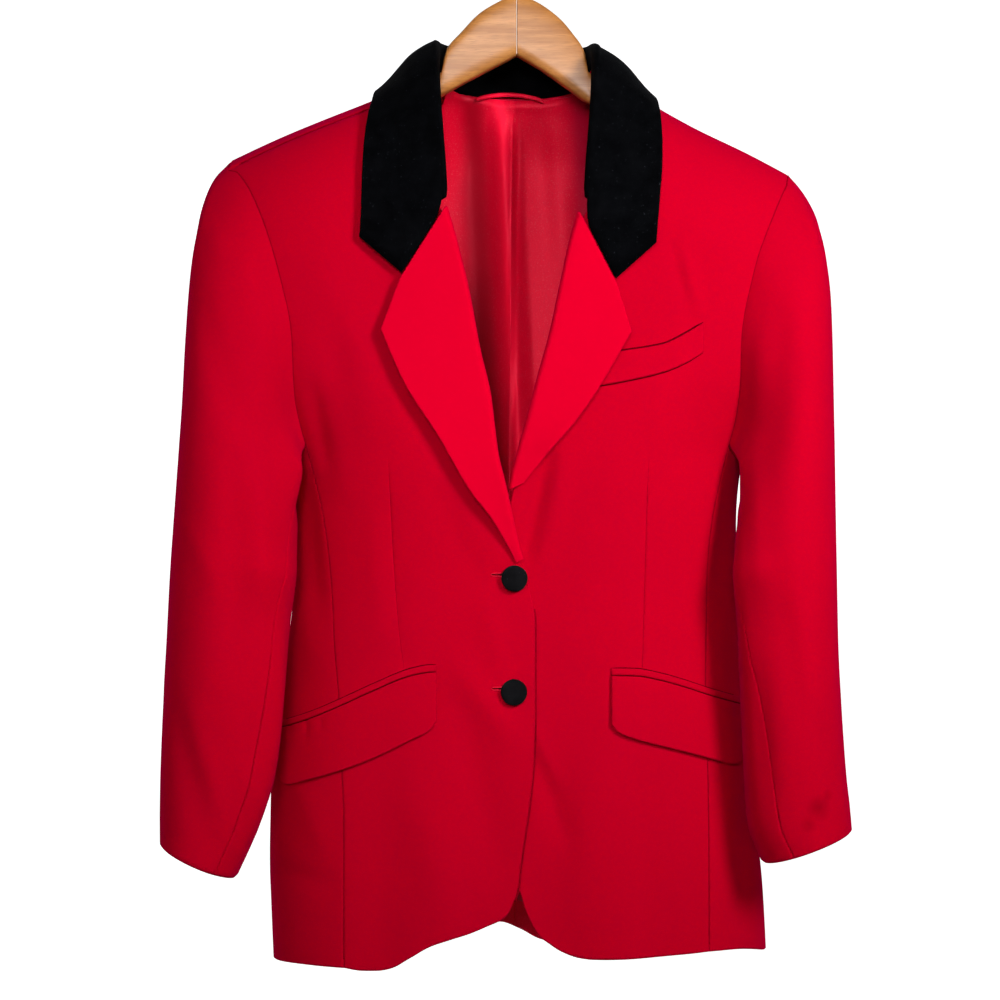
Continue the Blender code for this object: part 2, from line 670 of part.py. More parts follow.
def front_panel(hand, name):
    seam_z = seam_heights(HEM_RIGHT[0][1] if hand < 0 else HEM_LEFT[-1][1])
    left = [list(p) for p in arm_front(hand)]
    for z in seam_z[1:]:
        x = front_seam[hand](z)
        left.append([x, -along(x, z)])
    right = front_right_edge(hand)
    top = []
    for j in range(FRONT_COLS + 1):
        s = j / FRONT_COLS
        top.append([left[0][0] + (right[0][0] - left[0][0]) * s, -SHOULDER_V])
    table = HEM_RIGHT if hand < 0 else list(reversed(HEM_LEFT))
    lengths = [0.0]
    for a, b in zip(table[:-1], table[1:]):
        lengths.append(lengths[-1] + math.dist(a, b))
    hem_x = through(lengths, column(table, 0))
    hem_z = through(lengths, column(table, 1))
    bottom = []
    for j in range(FRONT_COLS + 1):
        at = lengths[-1] * (j / FRONT_COLS)
        x = hem_x(at)
        bottom.append([x, -along(x, hem_z(at))])
    bottom[0] = left[-1]
    bottom[-1] = right[-1]
    grid = patch(top, bottom, left, right)
    half = SEAM / 2
    for i in range(grid.shape[0]):
        grid[i, 0, 0] -= hand * half
    for j in range(grid.shape[1]):
        grid[0, j, 1] -= half
    outer, inner = grid_on(grid, lambda x, v: front_surface(hand, x, v))
    return cloth(name, outer, inner, RED), grid


def side_panel(hand, name):
    heights = seam_heights(HEM_RIGHT[0][1] if hand < 0 else HEM_LEFT[-1][1])
    half = SEAM / 2
    left = []
    right = []
    for z in heights:
        left.append([-round_side(hand, front_seam[hand](z), z), z])
    back_hem = hem_back(hand * 150.0)
    for z in seam_heights(back_hem):
        right.append([round_side(hand, back_seam(z), z), z])
    top = []
    bottom = []
    middle = (ARM_TOP_Z[hand] + UNDERARM_Z) / 2
    reach = (ARM_TOP_Z[hand] - UNDERARM_Z) / 2
    end = math.acos((SIDE_SEAM_TOP - middle) / reach)
    for j in range(SIDE_COLS + 1):
        s = j / SIDE_COLS
        angle = end + (2 * math.pi - 2 * end) * s
        w = left[0][0] + (right[0][0] - left[0][0]) * s
        top.append([w, middle + reach * math.cos(angle)])
        w = left[-1][0] + (right[-1][0] - left[-1][0]) * s
        bottom.append([w, hem_side(hand, w)])
    bottom[0] = left[-1]
    bottom[-1] = right[-1]
    grid = patch(top, bottom, left, right)
    grid[:, 0, 0] += half
    grid[:, -1, 0] -= half

    def place(w, z):
        p = on_side(hand, w, z)
        return p, outward(p)

    outer, inner = grid_on(grid, place)
    return cloth(name, outer, inner, RED), top


def back_panel(hand, name):
    half = SEAM / 2
    left = [list(p) for p in arm_back(hand)]
    for z in seam_heights(hem_back(hand * 150.0))[1:]:
        x = hand * back_seam(z)
        left.append([x, along(x, z)])
    rows = len(left)
    top = []
    shoulder = BACK_COLS - NECK_COLS
    start_x = left[0][0]
    for x in spread(start_x, hand * 64.0, shoulder):
        top.append([x, -SHOULDER_V])
    for x, v in neck_behind(NECK_COLS)[1:]:
        top.append([hand * x, v])
    first = top[-1][1]
    last = along(0.0, hem_back(0.0))
    right = [[0.0, v] for v in spread(first, last, rows - 1)]
    bottom = []
    for x in spread(left[-1][0], 0.0, BACK_COLS):
        bottom.append([x, along(x, hem_back(x))])
    bottom[0] = left[-1]
    grid = even_out(patch(top, bottom, left, right))
    grid[:, 0, 0] -= hand * half
    grid[:, -1, 0] += hand * half
    for j in range(shoulder + 1):
        grid[0, j, 1] += half

    def place(x, v):
        p = on_body(x, v)
        return p, outward(p)

    outer, inner = grid_on(grid, place)
    return cloth(name, outer, inner, RED)


def lining_fold(x, z):
    """Centre pleat and soft folds of the lining, toward the front."""
    lean = x + 0.05 * (z + 200.0)
    wave = 4.0 * math.exp(-((lean + 9.0) / 9.0) ** 2)
    wave -= 2.2 * math.exp(-((lean + 31.0) / 12.0) ** 2)
    wave += 2.4 * math.exp(-((lean + 50.0) / 10.0) ** 2)
    wave += 1.8 * math.exp(-((lean - 40.0) / 14.0) ** 2)
    fade = smooth_step(-152.0, -185.0, z)
    side = 2.4 * smooth_step(36.0, 52.0, abs(x)) * smooth_step(-240.0, -190.0, z)
    return 1.9 + side + fade * (wave + 0.6)


def lining_panel():
    cols = 14
    rows = 12
    ends = 150.0
    hem_gap = 24.0
    grid = np.zeros((rows + 1, cols + 1, 2))
    for j in range(cols + 1):
        x = -ends + 2 * ends * j / cols
        if abs(x) < 60.0:
            first = along(x, neck_back(x) - 0.6)
        else:
            first = 78.0
        last = along(x, hem_back(x) + hem_gap)
        for i in range(rows + 1):
            v = first + (last - first) * i / rows
            z = ridge(x) - drop(v)
            limit = min(ends, abs(half_width(x, z)) - 42.0)
            grid[i, j] = (x * limit / ends, v)

    def place(x, v):
        p = on_body(x, v)
        n = outward(p)
        return p - n * (WALL + lining_fold(x, p[2])), n

    outer, inner = grid_on(grid, place, SATIN)
    return cloth("lining_back", outer, inner, LINING_RED, 0.35)


def unit(a):
    return a / max(np.linalg.norm(a), 1e-9)


def wall_from_middle(middle, thick, facing):
    """Outer and inner grids either side of a middle surface. facing gives a point the outer side looks away from."""
    rows, cols = middle.shape[:2]
    outer = np.zeros_like(middle)
    inner = np.zeros_like(middle)
    for i in range(rows):
        for j in range(cols):
            a = middle[min(i + 1, rows - 1), j] - middle[max(i - 1, 0), j]
            b = middle[i, min(j + 1, cols - 1)] - middle[i, max(j - 1, 0)]
            n = unit(np.cross(a, b)) * facing
            outer[i, j] = middle[i, j] + n * thick / 2
            inner[i, j] = middle[i, j] - n * thick / 2
    return outer, inner


def lapel(hand, name):
    """A lapel turned back from the roll line, from the gorge to where it dies into the front edge."""
    gorge = GORGE_RIGHT if hand < 0 else GORGE_LEFT
    table = ROLL_RIGHT if hand < 0 else ROLL_LEFT
    tips = LAPEL_RIGHT if hand < 0 else LAPEL_LEFT
    rows = 12
    cols = 6
    bend = 4
    end_z = LAPEL_END[hand]
    top = []
    a = np.array(gorge[0])
    b = np.array(gorge[1])
    c = np.array((tips[0][1], tips[0][0]))
    first = np.linalg.norm(b - a)
    whole = first + np.linalg.norm(c - b)
    for s in spread(0.0, 1.0, cols):
        at = s * whole
        p = a + (b - a) * (at / first) if at < first else b + (c - b) * ((at - first) / (whole - first))
        top.append(p)
    low = max(tips[-1][0], end_z - 3.0)
    stations = [(-drop(v) + ridge(x), x) for x, v in front_right_edge(hand)[NECK_ROWS:NECK_ROWS + ROLL_ROWS[hand] + 1]]
    stations.sort()
    line_z = [z for z, _ in stations]
    line_x = [x for _, x in stations]
    left = [np.array([roll_line[hand](z), z]) for z in spread(table[0][0], end_z, rows)]
    right = [np.array([lapel_edge[hand](z), z]) for z in spread(tips[0][0], low, rows)]
    bottom = [left[-1] + (right[-1] - left[-1]) * s for s in spread(0.0, 1.0, cols)]
    plan = patch(top, bottom, left, right)
    middle = np.zeros((rows + 1, bend + cols + 1, 3))
    rims = []
    for i in range(rows + 1):
        r = i / rows
        z = plan[i, 0][1]
        radius = roll_radius(hand, z)
        flat = unit(plan[i, 2] - plan[i, 0])
        reach = radius + ROLL_CLEAR
        for _ in range(8):
            at_z = z + flat[1] * reach
            reach = max((float(np.interp(at_z, line_z, line_x)) - plan[i, 0][0]) / flat[0], 0.5)
        edge = plan[i, 0] + flat * reach
        p, n = front_surface(hand, edge[0], -along(edge[0], edge[1]))
        e = unit(front_at(edge[0] + flat[0] * 4, edge[1] + flat[1] * 4) - front_at(*edge))
        gap = SEAM + 0.7 + 0.5 * (1 - r) ** 2
        start = p - n * WALL / 2 - e * gap
        rims.append((p - e * gap, n))
        for k in range(bend + 1):
            angle = math.pi * k / bend
            middle[i, k] = start - e * radius * math.sin(angle) + n * radius * (1 - math.cos(angle))
        for j in range(1, cols + 1):
            s = j / cols
            q = plan[i, j] + (edge - plan[i, 0]) * (1 - s)
            p, n = front_surface(hand, q[0], -along(q[0], q[1]))
            near = 2 * radius - WALL / 2
            far = near + (9.5 - near) * (1 - smooth_step(0.45, 0.95, r))
            lift = near + (far - near) * s * s
            middle[i, bend + j] = p + n * lift
    middle[0] += np.array([0.0, 0.0, -0.6])
    outer, inner = wall_from_middle(middle, WALL, -hand)
    for i, (p, n) in enumerate(rims):
        if i == 0:
            p = p + np.array([0.0, 0.0, -0.6])
        faces_front = np.dot(outer[i, bend + 2] - inner[i, bend + 2], n) > 0
        under = inner if faces_front else outer
        over = outer if faces_front else inner
        under[i, 0] = p
        over[i, 0] = p - n * WALL
    return cloth(name, outer, inner, RED)


def collar():
    """Velvet collar: the stand rises from the neck seam, folds, and falls on the shoulders."""
    x_of = by_z(COLLAR_FOLD, 1)
    y_of = by_z(COLLAR_FOLD, 2)
    z_of = by_z(COLLAR_FOLD, 3)
    ex_of = by_z(COLLAR_EDGE, 1)
    ev_of = by_z(COLLAR_EDGE, 2)
    el_of = by_z(COLLAR_EDGE, 3)
    parts = spread(0.0, 0.5, NECK_ROWS) + spread(0.5, 1.0, NECK_COLS)[1:]
    stand = 2
    bend = 4
    leaf = 6
    radius = 3.4
    rims = []
    stations = []
    for hand in (-1, 1):
        for a in parts:
            if hand > 0 and a > 0.999:
                continue
            stations.append((hand, a))
    first = [s for s in stations if s[0] < 0]
    second = [s for s in stations if s[0] > 0]
    stations = first + list(reversed(second))
    neck = []
    behind = neck_behind(NECK_COLS)
    for hand, a in stations:
        if a < 0.501:
            neck.append(neck_station(hand, 1 - a / 0.5))
        else:
            x, v = behind[round((a - 0.5) * 2 * NECK_COLS)]
            neck.append((hand * x, v))
    seam = [on_body(x, v) for x, v in neck]
    middle = np.zeros((len(stations), stand + bend + leaf + 1, 3))
    for i, (hand, a) in enumerate(stations):
        x, v = neck[i]
        p = on_body(x, v)
        n = outward(p)
        root = p - n * WALL / 2
        top = np.array([hand * x_of(a), y_of(a), z_of(a)])
        up = unit(top - root)
        height = np.linalg.norm(top - root)
        out = unit(n - up * np.dot(n, up))
        r = min(radius, height * 0.5)
        run = seam[min(i + 1, len(seam) - 1)] - seam[max(i - 1, 0)]
        slide = unit(np.cross(run, n)) * (SEAM + 0.3)
        if np.dot(slide, up) < 0:
            slide = -slide
        rims.append((p + slide, n))
        root = root + slide
        for k in range(stand):
            middle[i, k] = root + up * (height - r) * k / stand
        centre = root + up * (height - r) + out * r
        for k in range(bend + 1):
            angle = math.pi - math.pi * k / bend
            middle[i, stand + k] = centre + out * r * math.cos(angle) + up * r * math.sin(angle)
        ep = on_body(hand * ex_of(a), ev_of(a))
        edge = ep + outward(ep) * el_of(a)
        begin = middle[i, stand + bend]
        for k in range(1, leaf + 1):
            s = k / leaf
            q = begin * (1 - s) + edge * s
            belly = (4.0 + 4.0 * smooth_step(0.35, 0.5, a)) * math.sin(math.pi * s) * (1 - s)
            middle[i, stand + bend + k] = q + out * belly
    for end, hand in ((0, -1), (-1, 1)):
        gorge = GORGE_RIGHT if hand < 0 else GORGE_LEFT
        corner = 0.62
        base = middle[end, stand + bend].copy()
        for k in range(leaf + 1):
            s = k / leaf
            if s < corner:
                u = s / corner
                q = np.array(gorge[0]) * (1 - u) + np.array(gorge[1]) * u
            else:
                u = (s - corner) / (1 - corner)
                q = np.array(gorge[1]) * (1 - u) + np.array(gorge[2]) * u
            p = front_at(q[0], q[1] + 1.5)
            n = outward(p)
            target = p + n * (6.8 - 1.0 * s)
            blend = smooth_step(0.0, 0.2, s)
            middle[end, stand + bend + k] = base * (1 - blend) + target * blend if k < 2 else target
        step = 1 if end == 0 else -1
        for m, weight in ((1, 0.5), (2, 0.2)):
            row = end + step * m
            for k in range(1, leaf + 1):
                s = k / leaf
                inside = (middle[row, stand + bend + k] * (1 - weight)
                          + (middle[end, stand + bend + k] + (middle[row, stand + bend] - base)) * weight)
                middle[row, stand + bend + k] = inside
    for end in (0, -1):
        middle[end, :stand + bend + 1, 2] += 2.6
        p, n = rims[end]
        rims[end] = (p + np.array([0.0, 0.0, 2.6]), n)
    outer, inner = wall_from_middle(middle, VELVET, -1)
    for i, (p, n) in enumerate(rims):
        leafward = np.dot(inner[i, 1] - outer[i, 1], n) > 0
        near = inner if leafward else outer
        far = outer if leafward else inner
        near[i, 0] = p
        far[i, 0] = p - n * WALL
    return cloth("collar", outer, inner, BLACK, 0.9)


def armhole_loop(hand, side_top):
    """Angle and point of each station round an armhole, from the shoulder seam forward and under."""
    middle = (ARM_TOP_Z[hand] + UNDERARM_Z) / 2
    reach = (ARM_TOP_Z[hand] - UNDERARM_Z) / 2

    def angle_of(z):
        return math.acos(min(max((z - middle) / reach, -1.0), 1.0))

    loop = []
    for i, (x, v) in enumerate(arm_front(hand)):
        p = on_body(x, v)
        p, _ = front_surface(hand, x, v)
        loop.append((angle_of(arm_heights(hand)[i]), p))
    end = loop[-1][0]
    for j in range(1, SIDE_COLS):
        s = j / SIDE_COLS
        w, z = side_top[j]
        loop.append((end + (2 * math.pi - 2 * end) * s, on_side(hand, w, z)))
    behind = []
    for i, (x, v) in enumerate(arm_back(hand)):
        if i == 0:
            continue
        behind.append((2 * math.pi - angle_of(arm_heights(hand)[i]), on_body(x, v)))
    loop += list(reversed(behind))
    return loop


def sleeve(hand, side_top):
    """Top sleeve and under sleeve, rings that fan out from the armhole and hang forward."""
    table = SLEEVE_RIGHT if hand < 0 else SLEEVE_LEFT
    cols = [through(column(table, 0), column(table, k)) for k in range(1, 9)]
    loop = armhole_loop(hand, side_top)

    def ring(t, angle):
        ox, oz, ix, iz, y, b, _, _ = (f(t) for f in cols)
        c = np.array([(ox + ix) / 2, y, (oz + iz) / 2])
        a = np.array([(ox - ix) / 2, 0.0, (oz - iz) / 2])
        cosine = math.cos(angle)
        sine = math.sin(angle)
        bend = 0.0
        if t > 0.4:
            bend = 2.4 * math.exp(-((t - 0.62) / 0.035) ** 2) - 2.0 * math.exp(-((t - 0.70) / 0.04) ** 2)
            bend *= math.exp(-((angle - 2.35) / 0.7) ** 2)
        return c + a * cosine * (1 + bend / 46.0) + np.array([0.0, -(b + bend) * sine, 0.0])

    times = [0.0, 0.04, 0.09, 0.15, 0.22, 0.30, 0.38, 0.46, 0.54, 0.60, 0.66, 0.72, 0.79, 0.86, 0.92, 1.0]
    count = len(loop)
    front_index = ARM_ROWS + 2
    back_index = ARM_ROWS + SIDE_COLS - 1
    whole = np.zeros((len(times), count, 3))
    start_front = loop[front_index][0]
    start_back = loop[back_index][0]
    for m, t in enumerate(times):
        ease = smooth_step(0.0, 0.12, t)
        fs = start_front * (1 - ease) + math.radians(cols[6](t)) * ease
        bs = start_back * (1 - ease) + math.radians(cols[7](t)) * ease
        fade = (1 - smooth_step(0.0, 0.36, t)) ** 1.5
        for k, (angle0, point) in enumerate(loop):
            if front_index <= k <= back_index:
                w = (angle0 - start_front) / (start_back - start_front)
                angle = fs + (bs - fs) * w
            else:
                a0 = angle0 if k < front_index else angle0 - 2 * math.pi
                w = (a0 - (start_back - 2 * math.pi)) / (start_front - (start_back - 2 * math.pi))
                angle = (bs - 2 * math.pi) + (fs - (bs - 2 * math.pi)) * w
            whole[m, k] = ring(t, angle) + (point - ring(0.0, angle0)) * fade
    normals = np.zeros_like(whole)
    for m in range(len(times)):
        for k in range(count):
            a = whole[min(m + 1, len(times) - 1), k] - whole[max(m - 1, 0), k]
            b = whole[m, (k + 1) % count] - whole[m, k - 1]
            normals[m, k] = unit(np.cross(a, b)) * -hand
            if m == 0:
                share = smooth_step(-0.3, 0.4, math.cos(loop[k][0]))
                normals[m, k] = unit(normals[m, k] * (1 - share) + outward(loop[k][1]) * share)
    side = "right" if hand < 0 else "left"
    top_picks = list(range(back_index - count, front_index + 1))
    under_picks = list(range(front_index, back_index + 1))
    for name, picks in (("sleeve_top_" + side, top_picks), ("sleeve_under_" + side, under_picks)):
        outer = whole[:, picks].copy()
        away = normals[:, picks]
        for end, inside in ((0, 1), (-1, -2)):
            for m in range(len(times)):
                step = unit(outer[m, inside] - outer[m, end]) * SEAM * (4.4 - 3.8 * smooth_step(0.15, 0.4, times[m]))
                outer[m, end] = outer[m, end] + step
        thick = np.zeros((len(times), len(picks), 1))
        for m, t in enumerate(times):
            for k, pick in enumerate(picks):
                tight = smooth_step(-0.45, -0.8, math.cos(loop[pick][0])) * smooth_step(0.34, 0.12, t)
                thick[m, k, 0] = WALL * (1 - 0.5 * tight)
        inner = outer - away * thick
        for k in range(len(picks)):
            step = unit(outer[1, k] - outer[0, k]) * 0.7
            outer[0, k] = outer[0, k] + step
            inner[0, k] = inner[0, k] + step
        cloth(name, outer, inner, RED)


def laid_strip(name, hand, table, upper, lower, rows, thick, lift_top, lift_low, colour=RED, round_last=0.0):
    """A pocket piece lying on the body, made from the surface moved out."""
    xs = column(table, 0)
    cols = 14
    top_of = through(xs, upper)
    low_of = through(xs, lower)
    outer = np.zeros((rows + 1, cols + 1, 3))
    inner = np.zeros((rows + 1, cols + 1, 3))
    first = round_side(hand, xs[0], upper[0])
    last = round_side(hand, xs[-1], upper[-1])
    for j in range(cols + 1):
        s = 0.5 - 0.5 * math.cos(math.pi * j / cols)
        s = 0.6 * s + 0.4 * j / cols
        w = first + (last - first) * s
        x = xs[0]
        for _ in range(8):
            z = top_of(x)
            half = half_right(z) if hand < 0 else half_left(z)
            a = min(w, SIDE_T * math.pi / 2)
            x = hand * (half - SIDE_T * (1 - math.cos(a / SIDE_T)) - (w - a))
        for i in range(rows + 1):
            r = i / rows
            z = top_of(x) * (1 - r) + low_of(x) * r
            p, n = front_surface(hand, x, -along(x, z))
            lift = lift_top * (1 - r) + lift_low * r
            inner[i, j] = p + n * lift
            outer[i, j] = p + n * (lift + thick)
    return cloth(name, outer, inner, colour)


def pockets():
    for hand, side, table in ((-1, "right", FLAP_RIGHT), (1, "left", FLAP_LEFT)):
        upper = column(table, 1)
        lower = column(table, 2)
        laid_strip("flap_" + side, hand, table, upper, lower, 4, 2.6, 0.5, 1.6)
        low = [z + 0.6 for z in upper]
        high = [z + 0.6 + JET_TALL for z in upper]
        laid_strip("jet_" + side, hand, table, high, low, 1, 2.0, 0.4, 0.5)
    laid_strip("breast_welt", 1, WELT, column(WELT, 1), column(WELT, 2), 3, 2.4, 0.5, 0.5)


def button(name, x, z):
    """A cloth-covered button, domed, on a short shank."""
    p, n = front_surface(-1, x, -along(x, z))
    base = p + n * 0.5
    side = unit(np.cross(n, np.array([0.0, 0.0, 1.0])))
    up = unit(np.cross(side, n))
    turns = 20
    profile = [(0.0, 0.0), (4.0, 0.0), (4.0, 1.2), (8.6, 1.4), (BUTTON_R, 2.6), (BUTTON_R - 0.3, 3.8),
               (BUTTON_R - 2.2, 4.9), (BUTTON_R - 5.2, BUTTON_H), (0.0, BUTTON_H + 0.3)]
    points = [base]
    faces = []
    for r, h in profile[1:-1]:
        for k in range(turns):
            a = 2 * math.pi * k / turns
            points.append(base + n * h + side * r * math.cos(a) + up * r * math.sin(a))
    points.append(base + n * profile[-1][1])
    rings = len(profile) - 2
    for k in range(turns):
        m = (k + 1) % turns
        faces.append((0, 1 + k, 1 + m))
        for q in range(rings - 1):
            a = 1 + q * turns
            b = a + turns
            faces.append((a + k, b + k, b + m, a + m))
        a = 1 + (rings - 1) * turns
        faces.append((a + k, len(points) - 1, a + m))
    solid(name, points, faces, BLACK, 0.6)


def tube(name, path, radius, turns, colour, rough, metal):
    path = np.asarray(path, float)
    points = []
    faces = []
    for i, p in enumerate(path):
        d = unit(path[min(i + 1, len(path) - 1)] - path[max(i - 1, 0)])
        side = np.array([0.0, 1.0, 0.0])
        across = unit(np.cross(d, side))
        for k in range(turns):
            a = 2 * math.pi * k / turns
            points.append(p + side * radius * math.cos(a) + across * radius * math.sin(a))
    count = len(path)
    for i in range(count - 1):
        for k in range(turns):
            m = (k + 1) % turns
            faces.append((i * turns + k, i * turns + m, (i + 1) * turns + m, (i + 1) * turns + k))
    faces.append(tuple(reversed(range(turns))))
    faces.append(tuple((count - 1) * turns + k for k in range(turns)))
    solid(name, points, faces, colour, rough, metal)


def hanger_arm(name, table):
    """A wooden arm with its long edges rounded."""
    half = ARM_THICK / 2
    soft = 3.0
    points = []
    rows = []
    for x, top, bottom in table:
        tall = top - bottom
        s = min(soft, tall * 0.2)
        ring = [
            (-half, bottom + s), (-half, top - s), (-half + s * 0.3, top - s * 0.3), (-half + s, top),
            (half - s, top), (half - s * 0.3, top - s * 0.3), (half, top - s), (half, bottom + s),
            (half - s * 0.3, bottom + s * 0.3), (half - s, bottom), (-half + s, bottom), (-half + s * 0.3, bottom + s * 0.3),
        ]
        rows.append(len(points))
        for y, z in ring:
            points.append((x, y, z))
    turns = 12
    faces = []
    for i in range(len(rows) - 1):
        for k in range(turns):
            m = (k + 1) % turns
            faces.append((rows[i] + k, rows[i] + m, rows[i + 1] + m, rows[i + 1] + k))
    faces.append(tuple(rows[0] + k for k in reversed(range(turns))))
    faces.append(tuple(rows[-1] + k for k in range(turns)))
    solid(name, points, faces, WOOD, 0.4)


def hook():
    path = [(1.5, 0.0, -76.9), (1.2, 0.0, -62.0)]
    for a in spread(-90.0, 195.0, 20):
        r = math.radians(a)
        path.append((HOOK_R * math.cos(r), 0.0, HOOK_WIRE - HOOK_R + HOOK_R * math.sin(r)))
    tube("hanger_hook", path, HOOK_WIRE, 8, STEEL, 0.25, 1.0)


def hanger_loop():
    """A short tape across the back of the neck, just above the seam."""
    cols = 8
    outer = np.zeros((2, cols + 1, 3))
    inner = np.zeros((2, cols + 1, 3))
    for j in range(cols + 1):
        s = j / cols
        x = -31.0 + 54.0 * s
        rise = 5.0 * math.sin(math.pi * s) ** 0.7
        p = on_body(x, along(x, -156.0))
        y = p[1] - WALL - 6.3
        z = -153.6 + rise - 1.4 * s
        for i in range(2):
            inner[i, j] = (x, y, z - 3.4 * i)
            outer[i, j] = (x, y - 1.2, z - 3.4 * i)
    cloth("hanger_loop", outer, inner, LINING_RED, 0.4)


def main():
    for thing in list(bpy.data.objects):
        bpy.data.objects.remove(thing, do_unlink=True)
    for hand, side in ((-1, "right"), (1, "left")):
        front_panel(hand, "front_" + side)
        _, side_top = side_panel(hand, "side_" + side)
        back_panel(hand, "back_" + side)
        lapel(hand, "lapel_" + side)
        sleeve(hand, side_top)
    lining_panel()
    collar()
    pockets()
    for name, (x, z) in BUTTONS.items():
        button(name, x, z)
    hanger_arm("hanger_arm_right", ARM_RIGHT)
    hanger_arm("hanger_arm_left", ARM_LEFT)
    hook()
    hanger_loop()


main()
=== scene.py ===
"""The looks of a red wool jacket with a velvet collar, on a two-arm wooden hanger.

Lengths are in millimetres, and are scaled to metres when a mesh is made.
X runs across, the wearer's right is -X. The front faces -Y. Z is up.
The cloth pieces lie on the same surfaces as their solids, with finer rows and columns.
"""
import bisect
import math

import bpy
import numpy as np
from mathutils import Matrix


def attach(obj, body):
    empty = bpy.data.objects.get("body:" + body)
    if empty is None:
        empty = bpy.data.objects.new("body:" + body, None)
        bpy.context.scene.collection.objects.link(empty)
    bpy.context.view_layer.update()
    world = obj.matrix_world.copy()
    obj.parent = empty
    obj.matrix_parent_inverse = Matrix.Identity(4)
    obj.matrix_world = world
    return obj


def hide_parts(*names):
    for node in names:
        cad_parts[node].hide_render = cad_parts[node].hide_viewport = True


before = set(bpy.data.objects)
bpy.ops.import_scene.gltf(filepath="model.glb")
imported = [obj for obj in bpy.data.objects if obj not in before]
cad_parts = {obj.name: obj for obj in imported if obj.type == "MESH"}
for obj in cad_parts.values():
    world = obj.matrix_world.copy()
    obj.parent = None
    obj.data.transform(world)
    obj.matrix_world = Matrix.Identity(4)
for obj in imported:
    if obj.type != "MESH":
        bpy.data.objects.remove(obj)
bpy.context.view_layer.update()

MM = 0.001
HANDS = {-1: "right", 1: "left"}

WALL = 2.4            # wool with its inner lining
VELVET = 2.5          # collar, two layers of velvet
SATIN = 1             # lining of the back
SEAM = 0.3            # clear gap where two pieces meet
SHOULDER_T = 100      # the shoulder rounds over this height
SIDE_T = 115          # the sides round in over this width
FRONT_LAP = 1.7       # each front moves this far where they lap

# Upper edge of the shoulders seen from the front.
RIDGE = [
    # x, z
    (-262, -228), (-229.6, -212), (-185, -191.4), (-150, -177), (-113, -162.4), (-96, -155), (-76, -142),
    (-60, -127), (-45, -118), (-25, -113.5), (0, -112), (25, -113.5), (45, -118), (60, -127), (76, -143),
    (100, -160), (108, -165), (143, -184.6), (186, -205.3), (220, -223.2), (255, -243),
]

# Half widths of the body on each side, for the height z.
SIDES = [
    # z, right, left
    (-110, 272, 268), (-212, 266, 262), (-270, 258, 256), (-330, 247, 246), (-380, 226, 226),
    (-420, 196, 197), (-450, 180, 181), (-500, 175.5, 174.5), (-560, 176.5, 172.5), (-600, 179.5, 174),
    (-640, 184, 178), (-680, 189.5, 182), (-720, 194.5, 187.5), (-770, 196, 196), (-800, 195, 198.5),
    (-860, 192.5, 201.5),
]

# Depth of the hanging body before and behind the hanger.
DEPTHS = [
    # z, front, back
    (-100, 60, 58), (-220, 66, 62), (-330, 70, 65), (-440, 70, 62), (-560, 63, 56), (-680, 65, 59),
    (-860, 69, 63),
]

# Front edge of the armholes.
ARMHOLE = {
    # hand: z, x
    -1: [
        (-211.6, -229), (-218, -223.8), (-225, -217.6), (-237, -209), (-258, -198.9), (-277, -191.7),
        (-298, -185.4), (-319, -179.9), (-339, -175.4), (-357, -173.4), (-380, -172.8), (-402, -172),
        (-423, -168.4), (-439, -164.5),
    ],
    1: [
        (-222.6, 219), (-231, 215.8), (-240, 210.7), (-260, 201.5), (-276, 194.7), (-294, 188),
        (-316, 182.4), (-337, 177.8), (-353, 175.8), (-368, 175.2), (-387, 175.4), (-402, 174.6),
        (-420, 172.4), (-439, 167.8),
    ],
}
UNDERARM_Z = -453
NECK_X = 64          # half width of the neck at the shoulder seam
GORGE_Z = -253       # where the neck edge meets the roll line
BACK_SEAM_X = 150    # half width of the back at its hem
SIDE_SEAM_TOP = -439

# Front-side seams, in front of the side panels.
FRONT_SEAM = {
    # hand: z, x
    -1: [
        (-439, -164.5), (-460, -158.6), (-488, -151.7), (-512, -147.6), (-534, -145), (-560, -143),
        (-591, -141.6), (-637, -137.7), (-693, -135), (-730, -133.4), (-848, -133.4),
    ],
    1: [
        (-439, 167.8), (-468, 160.9), (-494, 155.4), (-520, 152.1), (-543, 150.7), (-569, 150.3),
        (-628, 149.3), (-685, 150.4), (-714, 151), (-840, 150.9),
    ],
}
# Seams between the side panels and the back, as a half width.
BACK_SEAM = [
    # z, half_width
    (-439, 166), (-480, 154), (-540, 143), (-600, 141), (-700, 146), (-850, 150),
]
# Back edge of the armholes, as a half width.
BACK_ARMHOLE = [
    # z, half_width
    (-215, 224.5), (-232, 213), (-255, 202), (-285, 193), (-320, 187), (-360, 183), (-400, 177),
    (-439, 166),
]

# Neck edge of each front, then its roll line, then its front edge.
NECK_FRONT = [
    # z, half_width
    (-131, 64), (-150, 68.5), (-175, 70), (-205, 69), (-235, 65), (-253, 59),
]
ROLL = {
    # hand: z, x
    -1: [
        (-253, -53), (-283, -44.5), (-321, -35.2), (-373, -25.1), (-402, -18.2), (-449, -12), (-475, -5.8),
        (-519, 3.2), (-530, 6.1),
    ],
    1: [
        (-257, 48.3), (-283, 40.6), (-314, 33.6), (-355, 25.1), (-393, 15.1), (-427, 6.6), (-472, -5),
        (-512, -14),
    ],
}
EDGE = {
    # hand: z, x
    -1: [
        (-530, 6.1), (-541, 9.1), (-560, 13.2), (-580, 15.1), (-651, 15.1), (-682, 14.1), (-714, 11.2),
        (-741, 7.3), (-768, 3.5), (-782, 1.9), (-795, -2.7),
    ],
    1: [
        (-512, -14), (-560, -14.3), (-740, -14), (-760, -9), (-782, 2.7), (-793, 5.8),
    ],
}
